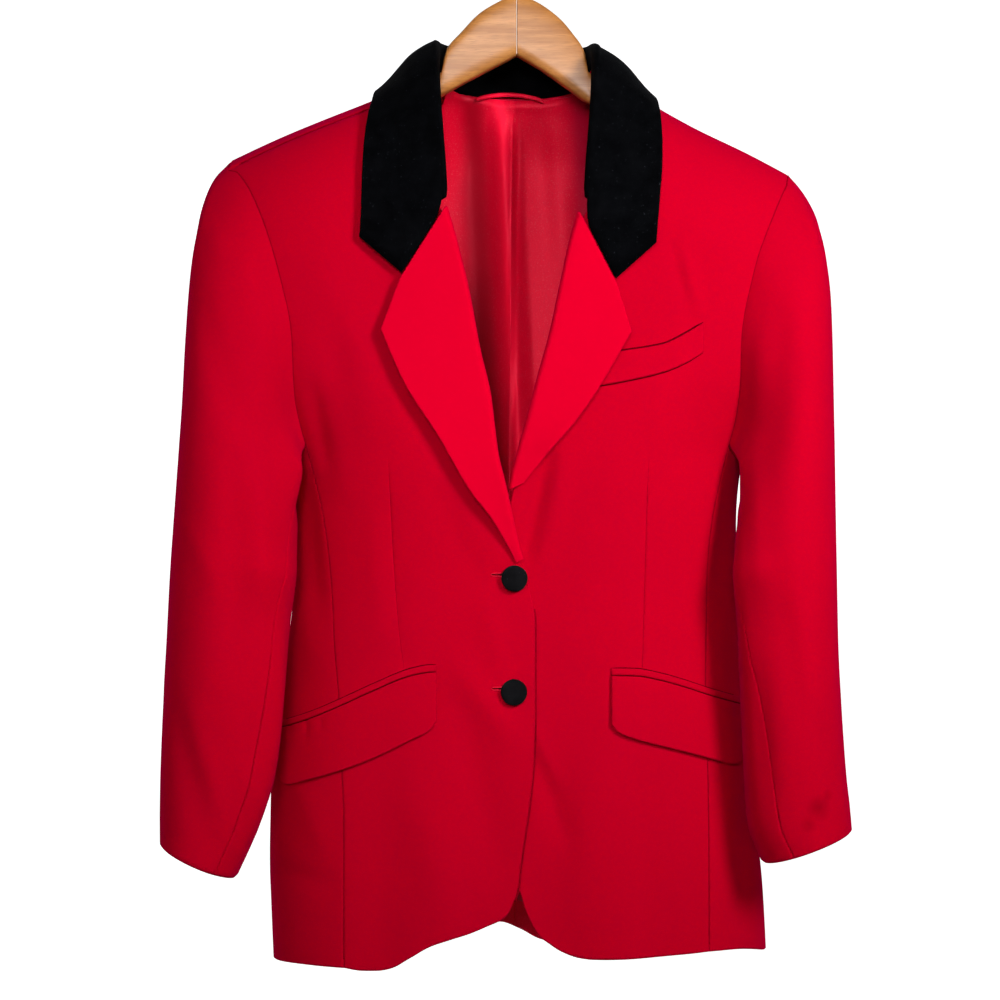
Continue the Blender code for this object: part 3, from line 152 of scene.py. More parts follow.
# Hem of each front from its corner to the front-side seam.
HEM = {
    # hand: x, z
    -1: [
        (-133.4, -845), (-120, -846.7), (-108, -846.5), (-97, -844.4), (-82, -836), (-66, -826.6),
        (-50, -821.2), (-35, -816.6), (-20, -810.4), (-12, -807), (-6.6, -802.6), (-2.7, -795),
    ],
    1: [
        (5.8, -793), (11.2, -806.5), (18.9, -819.7), (26, -825), (34.4, -830.5), (50, -835.9), (62, -836.9),
        (81, -836.7), (127, -834.4), (150.9, -833),
    ],
}
# Hem of the back, seen inside below the open fronts.
HEM_BACK = [
    # x, z
    (-200, -846), (-120, -845), (-60, -838), (-12, -829), (4, -834.5), (20, -843), (40, -847.5),
    (120, -845), (205, -838),
]

# Neck edge of the back.
NECK_BACK = [
    # x, z
    (-64, -131), (-55, -143), (-40, -148.5), (-20, -151), (0, -152.5), (20, -152.5), (40, -150.5),
    (55, -145), (64, -131),
]

# Fold of the collar on its way round the neck, wearer's right half.
COLLAR_FOLD = [
    # part of the way from the gorge to the back, x, y, z
    (0.00, 53, -70, -250), (0.1, 56, -68.5, -210), (0.2, 58.5, -58, -176), (0.3, 60, -41, -149),
    (0.4, 60.5, -21, -129), (0.5, 60.5, -3, -119.5), (0.6, 58.5, 21, -116), (0.7, 50.5, 33, -116),
    (0.8, 37, 40, -116.5), (0.9, 19.5, 44.5, -117.5), (1.00, 0, 46, -118),
]
# Outer edge of the collar on the shoulder. v is along the surface from the ridge and below 0 in front.
COLLAR_EDGE = [
    # part of the way, x, v, lift
    (0.00, 120.5, -135, 5), (0.1, 116.5, -98, 4.6), (0.2, 113.5, -68, 4.2), (0.3, 111.5, -43, 4.6),
    (0.4, 109.5, -19, 5.2), (0.5, 106, 5, 5.4), (0.6, 95, 34, 5), (0.7, 77, 62, 4.6), (0.8, 54, 86, 4.4),
    (0.9, 28, 99, 4.4), (1.00, 0, 104, 4.4),
]
# From the roll line down the gorge seam, then out to the collar's corner.
GORGE = {
    # hand: x, z
    -1: [(-53, -253), (-87.8, -308.3), (-120.5, -280.5)],
    1: [(48.3, -257), (77, -313), (108.5, -285)],
}

# Outer edge of the lapels from the tip down.
LAPEL = {
    # hand: z, x
    -1: [
        (-350, -104), (-392, -85.5), (-432, -60), (-474, -35.2), (-496, -18.2), (-530, 0.6), (-541, 6.2),
    ],
    1: [
        (-351.6, 89.3), (-393, 65.4), (-422, 45.2), (-445, 25.1), (-468, 6.5),
    ],
}

# Sleeve sections: how far forward and deep they are, then each sleeve's outer and inner point and front seam.
SLEEVE = [
    # t, y, half_depth, back_seam, (outer_x, outer_z, inner_x, inner_z, front_seam) right, then left
    (0.00, 0, 55, 222, (-229, -211.6, -178.5, -453, 168), (219, -222.6, 178.5, -453, 168)),
    (0.04, -3, 58.5, 222, (-239, -224.5, -181.8, -457, 167), (227.5, -233.5, 181.5, -457, 167)),
    (0.08, -8, 60.5, 222, (-245.3, -241, -182.8, -461, 166), (234.4, -247.7, 182.5, -461, 166)),
    (0.13, -14, 61.5, 222, (-250.4, -262.4, -182.6, -465, 165), (240.2, -264, 182.5, -465, 165)),
    (0.19, -20, 62, 223, (-254.7, -290.7, -180, -470, 164), (245, -288.3, 181.5, -470, 164)),
    (0.26, -26, 61.5, 224, (-257.7, -326.8, -177.5, -476, 163), (248, -322.8, 179.5, -476, 163)),
    (0.33, -31, 61, 225, (-259.4, -362.7, -174.5, -483, 161), (248.7, -362.7, 177.5, -483, 161)),
    (0.4, -36, 60, 226, (-260.8, -402.6, -172.5, -491, 159), (248.9, -402.6, 175.5, -491, 160)),
    (0.48, -40, 59, 227, (-263, -442.1, -171, -503, 156), (249.2, -442.1, 174.2, -503, 158)),
    (0.56, -43, 58, 228, (-266, -489.5, -171, -522, 153), (249.6, -489.5, 172.2, -522, 156)),
    (0.65, -46, 56.5, 229, (-268.8, -536.6, -172.5, -550, 146), (250.1, -536.6, 171.6, -550, 153)),
    (0.74, -48, 54.5, 230, (-271.4, -591.4, -177.5, -594, 139), (250.9, -591.4, 174.1, -591.4, 143)),
    (0.82, -51, 52, 231, (-273.7, -638.3, -181.5, -642.2, 133), (252.9, -638.3, 175.8, -638.3, 133)),
    (0.88, -53, 49.5, 232, (-275, -677.3, -184.6, -676, 129), (255.3, -677.3, 177.2, -677.3, 126)),
    (0.92, -54, 48, 233, (-275.6, -700.7, -188.5, -700, 127), (257.1, -699, 178.3, -704.6, 122)),
    (0.96, -55, 46.5, 234, (-275.8, -724.1, -199, -734, 125), (259.3, -719, 180.5, -733.5, 118)),
    (1.00, -56, 45, 235, (-275.4, -747.6, -216.6, -774, 123), (260.7, -736.7, 191.4, -762.5, 114)),
]

# Pocket flaps: upper and lower edge at stations from the inner end outward.
FLAP = {
    # hand: x, upper_z, lower_z
    -1: [
        (-61, -615, -652), (-66, -615.2, -659.5), (-80, -617.8, -667), (-110, -630, -682),
        (-135, -642, -692), (-160, -653.3, -700.3), (-178, -660.2, -705.5), (-186.5, -663, -700),
    ],
    1: [
        (74, -617.8, -655), (79.3, -617.9, -661.5), (94, -618.4, -667.5), (112, -622, -672.5),
        (129, -627, -677.2), (150, -634.5, -683.6), (172, -642, -690), (181, -645.5, -685),
    ],
}
JET_TALL = 5.2
# Breast pocket welt.
WELT = [
    # x, upper_z, lower_z
    (62, -369, -394), (84, -366.3, -390), (114, -361.2, -383), (130, -353.6, -376.5),
    (145.2, -344.6, -367.6),
]
BUTTONS = {"button_upper": (-0.8, -542), "button_lower": (-1.2, -630.2)}
BUTTON_R = 10.2
BUTTON_H = 5.5

# Hanger arms.
ARM_THICK = 18
ARM = {
    # hand: x, top_z, bottom_z
    -1: [
        (1.1, -77, -126.8), (-13.6, -83.8, -134.5), (-28, -92.6, -142), (-44, -109, -150.4),
        (-54, -120.4, -156), (-56, -126, -157), (-58.5, -140, -158.5), (-66, -142.3, -162.5),
        (-80, -153.3, -171.5), (-110, -169.8, -188), (-150, -185.8, -203), (-190, -203.3, -218),
        (-208, -211.8, -223.5),
    ],
    1: [
        (1.5, -77, -126.8), (18.2, -84.2, -136.5), (35.7, -97, -148.6), (46, -109, -156),
        (54, -120.4, -162), (56, -126, -163), (58.5, -140, -164), (66, -142.8, -167.5), (80, -154.8, -176),
        (108, -174.3, -192), (143, -193.3, -210), (186, -214.3, -229), (200, -221.8, -233.5),
    ],
}
HOOK_R = 24
HOOK_WIRE = 2

# Waist darts, from the breast down to the pocket.
DART = {
    # hand: z, x
    -1: [(-442, -98.7), (-520, -95.2), (-574.5, -91), (-614.7, -86.3)],
    1: [(-440.6, 103.3), (-520, 101.4), (-590, 99.5), (-613, 98.7)],
}

# Soft creases as seen from the front, each along a line. A trough has a height below 0.
FRONT_CREASES = {
    -1: [
        # x, z, to_x, to_z, width, height
        (-158, -395, -150, -450, 6, -1.6), (-140, -400, -134, -470, 9, 1), (-46, -612, -6, -664, 12, 1.9),
        (-40, -650, -14, -760, 16, -2), (-116, -600, -70, -560, 14, 0.7), (-80, -700, -52, -800, 17, 1.5),
        (-132, -706, -128, -716, 2.2, -0.5), (-120, -270, -95, -330, 16, -0.9),
        (-150, -300, -120, -372, 12, 0.9), (-60, -480, -30, -540, 11, -0.9),
        (-112, -500, -104, -590, 9, 0.6), (-24, -560, -10, -620, 8, 0.8),
    ],
    1: [
        # x, z, to_x, to_z, width, height
        (129, -290, 143, -338, 4.5, 1.1), (121, -284, 133, -336, 4, -0.9), (114, -396, 104, -452, 10, 0.9),
        (24, -450, 8, -524, 8, -4.2), (38, -452, 20, -530, 8, 1.2), (14, -660, 32, -700, 5, 1.5),
        (16, -676, 38, -742, 9, -1.9), (62, -690, 50, -800, 15, 1.5), (104, -700, 96, -812, 13, -1.2),
        (150, -296, 136, -360, 10, -0.8), (60, -520, 40, -600, 15, 0.9), (126, -500, 122, -600, 10, -0.6),
    ],
}
SIDE_CREASES = {
    -1: [
        # x, z, to_x, to_z, width, height
        (-164, -480, -156, -560, 8, -1.4), (-176, -560, -160, -600, 11, 0.9),
        (-170, -702, -150, -752, 9, 0.9), (-190, -772, -140, -782, 7, -0.9),
    ],
    1: [
        # x, z, to_x, to_z, width, height
        (168, -480, 160, -560, 7, -1.2), (168, -700, 160, -790, 10, 1), (186, -720, 176, -810, 9, -1),
    ],
}
BACK_CREASES = [
    # x, z, to_x, to_z, width, height
    (-130, -250, -60, -330, 16, 1.2), (120, -258, 70, -350, 15, 1.1), (-120, -470, -40, -500, 10, -1.2),
    (44, -486, 124, -462, 9, -1.1), (-100, -560, -84, -820, 17, 1.7), (-50, -600, -44, -830, 15, -1.5),
    (56, -580, 62, -826, 16, 1.6), (106, -620, 112, -830, 14, -1.4), (-150, -350, -128, -452, 12, -1.2),
    (152, -352, 130, -446, 12, -1.1),
]
SLEEVE_CREASES = {
    -1: [
        # x, z, to_x, to_z, width, height
        (-214, -452, -210, -610, 10, -1.7), (-232, -470, -236, -640, 13, 1), (-196, -440, -190, -560, 7, 1),
        (-262, -640, -232, -742, 11, -1.5), (-246, -646, -216, -744, 9, 1.2),
        (-206, -690, -196, -728, 7, 1.4), (-240, -330, -214, -420, 12, -1),
        (-206, -300, -196, -372, 9, 0.8), (-238, -262, -226, -298, 10, 0.7),
        (-252, -500, -226, -548, 8, 0.7),
    ],
    1: [
        # x, z, to_x, to_z, width, height
        (196, -286, 206, -300, 4, -0.8), (200, -270, 222, -286, 5, 0.8), (204, -330, 196, -420, 9, -1),
        (222, -340, 216, -470, 13, 0.9), (198, -520, 214, -640, 10, -1), (214, -560, 228, -650, 10, 0.9),
        (184, -620, 192, -706, 8, -1.8), (232, -650, 246, -700, 8, -0.8), (186, -440, 184, -540, 6, 0.9),
    ],
}
SLEEVE_BACK_CREASES = [
    # half width, z, to_half_width, to_z, width, height
    (182, -500, 240, -532, 7, -1.8), (180, -528, 244, -566, 8, -1.5), (196, -560, 236, -598, 8, -1.2),
    (236, -300, 216, -440, 12, 1.1), (204, -620, 232, -730, 11, 1.1),
]

FINE = 6              # rows and columns for each one that the solids have
ARM_ROWS = 8 * FINE
SEAM_ROWS = 13 * FINE
FRONT_COLS = 8 * FINE
BACK_COLS = 9 * FINE
NECK_COLS = 6 * FINE
SIDE_COLS = 6 * FINE
NECK_ROWS = 5 * FINE
ROLL_ROWS = {-1: 9 * FINE, 1: 8 * FINE}
SHOULDER_V = {-1: 43, 1: 6}    # how far in front of the ridge each shoulder seam lies


def column(table, number):
    return [row[number] for row in table]


def through(xs, ys):
    """Smooth curve through table rows, without overshoot between them."""
    pairs = sorted(zip(xs, ys))
    xs = [float(x) for x, _ in pairs]
    ys = [float(y) for _, y in pairs]
    count = len(xs)
    step = [xs[i + 1] - xs[i] for i in range(count - 1)]
    rise = [(ys[i + 1] - ys[i]) / step[i] for i in range(count - 1)]
    slope = [rise[0]] + [0] * (count - 2) + [rise[-1]]
    for i in range(1, count - 1):
        if rise[i - 1] * rise[i] > 0:
            slope[i] = 2 * rise[i - 1] * rise[i] / (rise[i - 1] + rise[i])

    def value(x):
        x = min(max(x, xs[0]), xs[-1])
        i = min(max(bisect.bisect_left(xs, x) - 1, 0), count - 2)
        h = step[i]
        u = (x - xs[i]) / h
        a = (1 + 2 * u) * (1 - u) ** 2
        b = u * (1 - u) ** 2
        c = u * u * (3 - 2 * u)
        d = u * u * (u - 1)
        return a * ys[i] + b * h * slope[i] + c * ys[i + 1] + d * h * slope[i + 1]

    return value


def by_z(table, number=1):
    return through(column(table, 0), column(table, number))


ridge = through(column(RIDGE, 0), column(RIDGE, 1))
half_right = by_z(SIDES, 1)
half_left = by_z(SIDES, 2)
depth_front = by_z(DEPTHS, 1)
depth_back = by_z(DEPTHS, 2)
back_seam = by_z(BACK_SEAM)
back_armhole = by_z(BACK_ARMHOLE)
neck_front = by_z(NECK_FRONT)
neck_back = through(column(NECK_BACK, 0), column(NECK_BACK, 1))
hem_back = through(column(HEM_BACK, 0), column(HEM_BACK, 1))
BOTH_SIDES = (ARMHOLE, FRONT_SEAM, ROLL, EDGE, LAPEL, DART)
armhole_front, front_seam, roll_line, front_edge, lapel_edge, dart_x = (
    {hand: by_z(rows) for hand, rows in table.items()} for table in BOTH_SIDES
)
ARM_TOP_Z = {hand: rows[0][0] for hand, rows in ARMHOLE.items()}


def smooth_step(a, b, x):
    u = min(max((x - a) / (b - a), 0), 1)
    return u * u * (3 - 2 * u)


def round_over(gap, size):
    """1 well inside, falling to 0 at an edge that a quarter round of this size ends on."""
    u = min(max(1 - gap / size, 0), 1)
    return math.sqrt(max(1 - u * u, 0))


def half_width(x, z):
    return half_right(z) if x < 0 else half_left(z)


def depth_at(y, z):
    return depth_front(z) if y < 0 else depth_back(z)


def level(x, y, z):
    """Below 0 inside the body, 0 on its surface."""
    depth = depth_at(y, z)
    u = min(max(1 - (ridge(x) - z) / SHOULDER_T, -1), 2)
    w = min(max(1 - (half_width(x, z) - abs(x)) / SIDE_T, -1), 2)
    over = 1 - max(u, 0) ** 2
    side = 1 - max(w, 0) ** 2
    return (y / depth) ** 2 - over * side


def outward(p):
    """Direction out of the body's surface."""
    e = 0.4
    g = []
    for axis in range(3):
        a = list(p)
        b = list(p)
        a[axis] -= e
        b[axis] += e
        g.append(level(*b) - level(*a))
    g = np.array(g)
    return g / max(np.linalg.norm(g), 1e-9)


def drop(v):
    """Fall below the ridge after going v along the surface."""
    v = abs(v)
    quarter = SHOULDER_T * math.pi / 2
    if v < quarter:
        return SHOULDER_T * (1 - math.cos(v / SHOULDER_T))
    return SHOULDER_T + v - quarter


def along(x, z):
    """How far z lies along the surface from the ridge."""
    t = max(ridge(x) - z, 0)
    if t < SHOULDER_T:
        return SHOULDER_T * math.acos(1 - t / SHOULDER_T)
    return SHOULDER_T * (math.pi / 2 - 1) + t


def on_body(x, v):
    """Point of the body's outer surface, in front for v below 0."""
    z = ridge(x) - drop(v)
    face = -1 if v < 0 else 1
    depth = depth_at(face, z)
    over = math.sin(min(abs(v) / SHOULDER_T, math.pi / 2))
    side = round_over(half_width(x, z) - abs(x), SIDE_T)
    return np.array([x, face * depth * over * side, z])


def body_point(x, v):
    """Point of the body and its outward direction."""
    p = on_body(x, v)
    return p, outward(p)


def above(p, lift):
    return p + outward(p) * lift


def front_at(x, z):
    return on_body(x, -along(x, z))


def on_side(hand, w, z):
    """Point of the body's side, w runs round it and is below 0 in front."""
    half = half_width(hand, z)
    quarter = SIDE_T * math.pi / 2
    a = min(abs(w), quarter)
    x = half - SIDE_T * (1 - math.cos(a / SIDE_T)) - (abs(w) - a)
    depth = depth_at(w, z)
    y = math.copysign(depth * math.sin(a / SIDE_T), w)
    return np.array([hand * x, y, z])


def round_side(hand, x, z):
    """How far round the side a point at x lies."""
    half = half_width(hand, z)
    d = max(half - abs(x), 0)
    if d < SIDE_T:
        return SIDE_T * math.acos(1 - d / SIDE_T)
    return SIDE_T * (math.pi / 2 - 1) + d


def bell(x, width):
    return math.exp(-(x / width) ** 2)


def squared(value, power):
    """A sine or cosine pushed out toward the sides of a square."""
    return math.copysign(abs(value) ** power, value)


def unit(a):
    return a / max(np.linalg.norm(a), 1e-9)


def units(grid):
    return grid / np.maximum(np.linalg.norm(grid, axis=2, keepdims=True), 1e-9)


def spread(first, last, count):
    return [first + (last - first) * i / count for i in range(count + 1)]


CREASE_DEPTH = 1.5


def creases(table, x, z):
    """Height of the soft creases of a table at one place."""
    total = 0
    for x0, z0, x1, z1, width, height in table:
        dx = x1 - x0
        dz = z1 - z0
        t = min(max(((x - x0) * dx + (z - z0) * dz) / (dx * dx + dz * dz), 0), 1)
        away = ((x - x0 - t * dx) ** 2 + (z - z0 - t * dz) ** 2) / (width * width)
        if away < 9:
            swell = 0.35 + 0.65 * math.sin(math.pi * (0.12 + 0.76 * t))
            total += CREASE_DEPTH * height * math.exp(-away) * swell
    return total


def dart(hand, x, z):
    """A sewn line with a shallow hollow on each side."""
    top = DART[hand][0][0]
    low = DART[hand][-1][0]
    if z < low or z > top + 4:
        return 0
    away = x - dart_x[hand](z)
    deep = smooth_step(top + 4, top - 60, z)
    return -deep * (0.6 * bell(away, 0.75) + 0.7 * bell(away, 8))


def patch(top, bottom, left, right):
    """Points between four edges, rows from top to bottom, columns from left to right."""
    top, bottom, left, right = (np.asarray(edge, float) for edge in (top, bottom, left, right))
    s = np.linspace(0, 1, len(top))[None, :, None]
    r = np.linspace(0, 1, len(left))[:, None, None]
    across = (1 - s) * left[:, None] + s * right[:, None]
    down = (1 - r) * top[None] + r * bottom[None]
    corners = (1 - r) * ((1 - s) * left[0] + s * right[0]) + r * ((1 - s) * left[-1] + s * right[-1])
    return across + down - corners


def even_out(grid, passes=300):
    """Move the inner points of a patch until its lines cross squarely and none fold over."""
    for _ in range(passes):
        left = grid[1:-1, :-2]
        right = grid[1:-1, 2:]
        above = grid[:-2, 1:-1]
        below = grid[2:, 1:-1]
        across = (right - left) / 2
        down = (below - above) / 2
        a = np.sum(down * down, axis=2, keepdims=True)
        b = np.sum(across * down, axis=2, keepdims=True)
        c = np.sum(across * across, axis=2, keepdims=True)
        twist = grid[2:, 2:] - grid[:-2, 2:] - grid[2:, :-2] + grid[:-2, :-2]
        moved = (a * (left + right) + c * (above + below) - b * twist / 2) / (2 * (a + c) + 1e-9)
        grid[1:-1, 1:-1] += 0.6 * (moved - grid[1:-1, 1:-1])
    return grid


def closer(count, lines=(), near=0.03, more=5):
    """Places from 0 to 1, closer together at both ends and at the lines given."""
    fine = np.linspace(0, 1, 600)
    dense = 1 + more * (np.exp(-(fine / near) ** 2) + np.exp(-((1 - fine) / near) ** 2))
    for line, reach, weight in lines:
        dense += weight * np.exp(-((fine - line) / reach) ** 2)
    total = np.concatenate([[0], np.cumsum((dense[1:] + dense[:-1]) / 2)])
    return np.interp(np.linspace(0, 1, count), total / total[-1], fine)


def resampled(grid, row_places, col_places):
    """The same patch with its rows and columns at other places. col_places may have one line for each row."""
    rows, cols = grid.shape[:2]
    rest = grid.shape[2]
    tall = np.empty((len(row_places), cols, rest))
    at = np.linspace(0, 1, rows)
    for j in range(cols):
        for k in range(rest):
            tall[:, j, k] = np.interp(row_places, at, grid[:, j, k])
    places = np.broadcast_to(col_places, (len(row_places), np.shape(col_places)[-1]))
    wide = np.empty((len(row_places), places.shape[1], rest))
    at = np.linspace(0, 1, cols)
    for i in range(len(row_places)):
        for k in range(rest):
            wide[i, :, k] = np.interp(places[i], at, tall[i, :, k])
    return wide


def lengths_along(points, axis):
    """Length from the first row or column to each point."""
    step = np.linalg.norm(np.diff(points, axis=axis), axis=2)
    zero = np.zeros_like(np.take(step, [0], axis=axis))
    return np.cumsum(np.concatenate([zero, step], axis=axis), axis=axis)


def edge_gap(points, edges):
    """Distance of each point from the nearest of the edges named: left, right, top, bottom."""
    across = lengths_along(points, 1)
    down = lengths_along(points, 0)
    gap = np.full(points.shape[:2], 1e3)
    if "left" in edges:
        gap = np.minimum(gap, across)
    if "right" in edges:
        gap = np.minimum(gap, across[:, -1:] - across)
    if "top" in edges:
        gap = np.minimum(gap, down)
    if "bottom" in edges:
        gap = np.minimum(gap, down[-1:] - down)
    return gap


ALL_EDGES = ("left", "right", "top", "bottom")
ROUND = 1.1           # radius of a turned edge


def turned_edge(gap, radius=ROUND):
    """How far a face falls at a turned edge."""
    u = np.clip(1 - gap / radius, 0, 1)
    return radius * (1 - np.sqrt(1 - u * u))


def put(name, data):
    thing = bpy.data.objects.new(name, data)
    bpy.context.scene.collection.objects.link(thing)
    return thing


def add_mesh(name, points, faces, materials, uv=None, kinds=None):
    mesh = bpy.data.meshes.new(name)
    mesh.from_pydata(np.asarray(points, float).tolist(), [], faces)
    mesh.update()
    mesh.polygons.foreach_set("use_smooth", [True] * len(mesh.polygons))
    for material in materials:
        mesh.materials.append(material)
    if kinds is not None:
        mesh.polygons.foreach_set("material_index", kinds)
    if uv is not None:
        corners = np.empty(len(mesh.loops), np.int32)
        mesh.loops.foreach_get("vertex_index", corners)
        layer = mesh.uv_layers.new(name="weave")
        layer.data.foreach_set("uv", np.asarray(uv, np.float32)[corners].ravel())
    return put(name, mesh)


def ladder(count):
    """Faces of a strip of paired points."""
    return [(2 * i, 2 * i + 1, 2 * i + 3, 2 * i + 2) for i in range(count)]


def settle(thing, slot, *nodes):
    """Let a piece ride on the part and stand for its solids, which are hidden. The slot is not used."""
    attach(thing, "root")
    if nodes:
        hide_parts(*nodes)
    return thing


def cloth(name, outer, inner, slot="wool", materials=None, turn=0):
    """A closed cloth wall, lined wool unless told. The weave's coordinates are lengths on it, in metres."""
    rows, cols = outer.shape[:2]
    points = np.concatenate([outer.reshape(-1, 3), inner.reshape(-1, 3)]) * MM
    number = np.arange(rows * cols).reshape(rows, cols)
    corners = number[:-1, :-1], number[1:, :-1], number[1:, 1:], number[:-1, 1:]
    faces = np.stack([corner.ravel() for corner in corners], 1)
    back = rows * cols + faces[:, ::-1]
    loop = np.concatenate([number[0, :], number[1:, -1], number[-1, -2::-1], number[-2:0:-1, 0]])
    after = np.roll(loop, -1)
    rim = np.stack([loop, loop + rows * cols, after + rows * cols, after], 1)[:, ::-1]
    every = np.concatenate([faces, back, rim])
    first, second, third, fourth = (points[every[:, k]] for k in range(4))
    if (first * (np.cross(second, third) + np.cross(third, fourth))).sum() < 0:
        every = every[:, ::-1]
    across = lengths_along(outer, 1)
    down = lengths_along(outer, 0)
    across = across - across[:, cols // 2:cols // 2 + 1]
    down = down - down[rows // 2:rows // 2 + 1]
    u = across * math.cos(turn) + down * math.sin(turn)
    v = down * math.cos(turn) - across * math.sin(turn)
    uv = np.tile(np.stack([u.ravel(), v.ravel()], 1) * MM, (2, 1))
    kinds = np.zeros(len(every), np.int32)
    materials = materials or [WOOL, LINING]
    if len(materials) > 1:
        kinds[len(faces):len(faces) + len(back)] = 1
    thing = add_mesh("sewn_" + name, points, every.tolist(), materials, uv, kinds)
    return settle(thing, slot, name)


def seated(grid, place):
    """Points and outward directions on a surface, for a patch of its coordinates."""
    rows, cols = grid.shape[:2]
    points = np.zeros((rows, cols, 3))
    away = np.zeros((rows, cols, 3))
    for i in range(rows):
        for j in range(cols):
            points[i, j], away[i, j] = place(*grid[i, j])
    return points, away


def wall_on(grid, place, thick=WALL, edges=ALL_EDGES, groove=None, pressed=None):
    """Outer and inner points of a piece that lies on a surface, with its edges turned."""
    points, away = seated(grid, place)
    gap = edge_gap(points, edges)
    fall = turned_edge(gap)[..., None]
    outer = points - away * fall
    if groove:
        sewn = edge_gap(points, groove)
        outer -= away * (0.22 * np.exp(-((sewn - 2.6) / 0.55) ** 2))[..., None]
    if pressed:
        sewn = edge_gap(points, pressed)
        outer -= away * (0.7 * np.exp(-(sewn / 2.2) ** 2))[..., None]
    inner = points - away * (thick - 0.5 * fall)
    return outer, inner


def arm_span(hand):
    """Middle height of an armhole, half its height, and the angle at which it meets the side seam."""
    middle = (ARM_TOP_Z[hand] + UNDERARM_Z) / 2
    reach = (ARM_TOP_Z[hand] - UNDERARM_Z) / 2
    return middle, reach, math.acos((SIDE_SEAM_TOP - middle) / reach)


def arm_heights(hand):
    """Heights of the armhole stations, closer together over the shoulder."""
    middle, reach, end = arm_span(hand)
    start = math.acos(1 - 0.9 / reach)
    return [middle + reach * math.cos(a) for a in spread(start, end, ARM_ROWS)]


def arm_front(hand):
    """Armhole stations in front as x and v, from the shoulder seam to the front-side seam."""
    rows = down_front(armhole_front[hand], arm_heights(hand))
    first = (rows[0][0], -SHOULDER_V[hand])
    last = FINE
    while rows[last][1] > first[1] - 6:
        last += 1
    for i in range(last):
        s = i / last
        rows[i] = tuple(a + (b - a) * s for a, b in zip(first, rows[last]))
    return rows


def arm_back(hand):
    """Armhole stations behind, the first on the shoulder seam, then over the ridge and down."""
    rows = [arm_front(hand)[0]]
    heights = arm_heights(hand)
    for z in heights[1:]:
        x = hand * back_armhole(min(z, -215) if hand < 0 else z)
        if z > -300:
            ease = smooth_step(-215, -300, z)
            x = (1 - ease) * (armhole_front[hand](z) + hand) + ease * x
        rows.append((x, along(x, z)))
    first = rows[0]
    last = rows[FINE]
    for i in range(1, FINE):
        s = i / FINE
        v = first[1] + (last[1] - first[1]) * s
        bulge = hand * 2 * math.sin(math.pi * s)
        rows[i] = (first[0] + (last[0] - first[0]) * s + bulge, v)
    return rows


def seam_heights(hem_z):
    return spread(SIDE_SEAM_TOP, hem_z, SEAM_ROWS)


def hem_side(hand, w):
    """Height of the hem round the side."""
    front_z = -845 if hand < 0 else -833
    back_z = -845.5 if hand < 0 else -839
    lowest = -847 if hand < 0 else -840
    a = smooth_step(-90, 0, w)
    b = smooth_step(0, 90, w)
    return front_z + (lowest - front_z) * a + (back_z - lowest) * b


def fold(x, z, hand):
    """Soft standing folds of the hanging cloth, with its creases and its dart."""
    low = smooth_step(-560, -840, z)
    calm = smooth_step(0, 16, abs(x - front_seam[hand](z))) if z < SIDE_SEAM_TOP else 1
    wave = creases(FRONT_CREASES[hand], x, z) * calm + dart(hand, x, z)
    if hand < 0:
        wave += 4 * low * bell(x + 62, 26)
        wave -= 2.6 * low * bell(x + 104, 20)
        wave -= 2.6 * bell(x + 138, 15) * bell(z + 400, 60)
    else:
        wave += 3.2 * low * bell(x - 72, 30)
        wave -= 1.8 * low * bell(x - 112, 22)
        wave -= 2 * bell(x - 140, 14) * bell(z + 420, 60)
    return wave


def front_lift(hand, x, z):
    """Where the fronts lap, the right one lies on the left one."""
    lap = FRONT_LAP * smooth_step(80, 22, hand * x) * smooth_step(-330, -480, z)
    return -hand * lap + fold(x, z, hand)


def front_surface(hand, x, v):
    """Point and outward direction of a front, v along the surface from the ridge."""
    p, n = body_point(x, v)
    return p + n * front_lift(hand, p[0], p[2]), n


def front_point(hand, x, z):
    return front_surface(hand, x, -along(x, z))


ROLL_R = 4            # radius of the turned lapel
ROLL_END_R = 1.5      # and where it dies into the front edge
ROLL_CLEAR = 1.4
LAPEL_END = {-1: -527, 1: -474}


def roll_radius(hand, z):
    end = LAPEL_END[hand]
    small = ROLL_END_R if hand < 0 else 2.2
    return small + (ROLL_R - small) * smooth_step(end, end + 70, z)


def roll_inset(hand, z):
    """How far outside the roll line the wall of the front ends."""
    end = LAPEL_END[hand]
    reach = 30 if hand < 0 else 50
    return (roll_radius(hand, z) + ROLL_CLEAR) * smooth_step(end - reach, end - reach * 0.35, z)


def neck_station(hand, part):
    """Point of the neck edge in front, from the shoulder seam to the gorge, as x and v."""
    last = along(neck_front(GORGE_Z), GORGE_Z)
    v = SHOULDER_V[hand] + (last - SHOULDER_V[hand]) * part
    x = NECK_X
    for _ in range(12):
        x = neck_front(ridge(hand * x) - drop(v))
    return hand * x, -v


def neck_behind(hand, count):
    """Even points of the back's neck edge, from the shoulder seam to the middle, as half width and v."""
    fine = [(neck_front(ridge(hand * NECK_X) - drop(v)), v) for v in spread(-SHOULDER_V[hand], 0, 12)]
    round_neck = [NECK_X * math.cos(turn) for turn in spread(0, math.pi / 2, 60)[1:]]
    fine += [(x, along(x, neck_back(x))) for x in round_neck]
    lengths = arc_lengths(fine)
    at = spread(0, lengths[-1], count)
    return list(zip(*(np.interp(at, lengths, column(fine, k)).tolist() for k in (0, 1))))


def arc_lengths(points):
    """Length along a line to each of its points."""
    lengths = [0]
    for a, b in zip(points[:-1], points[1:]):
        lengths.append(lengths[-1] + math.dist(a, b))
    return lengths


def down_front(x_of, heights):
    """Places x and v of a line on the front, from its x for each height."""
    return [(x, -along(x, z)) for x, z in ((x_of(z), z) for z in heights)]


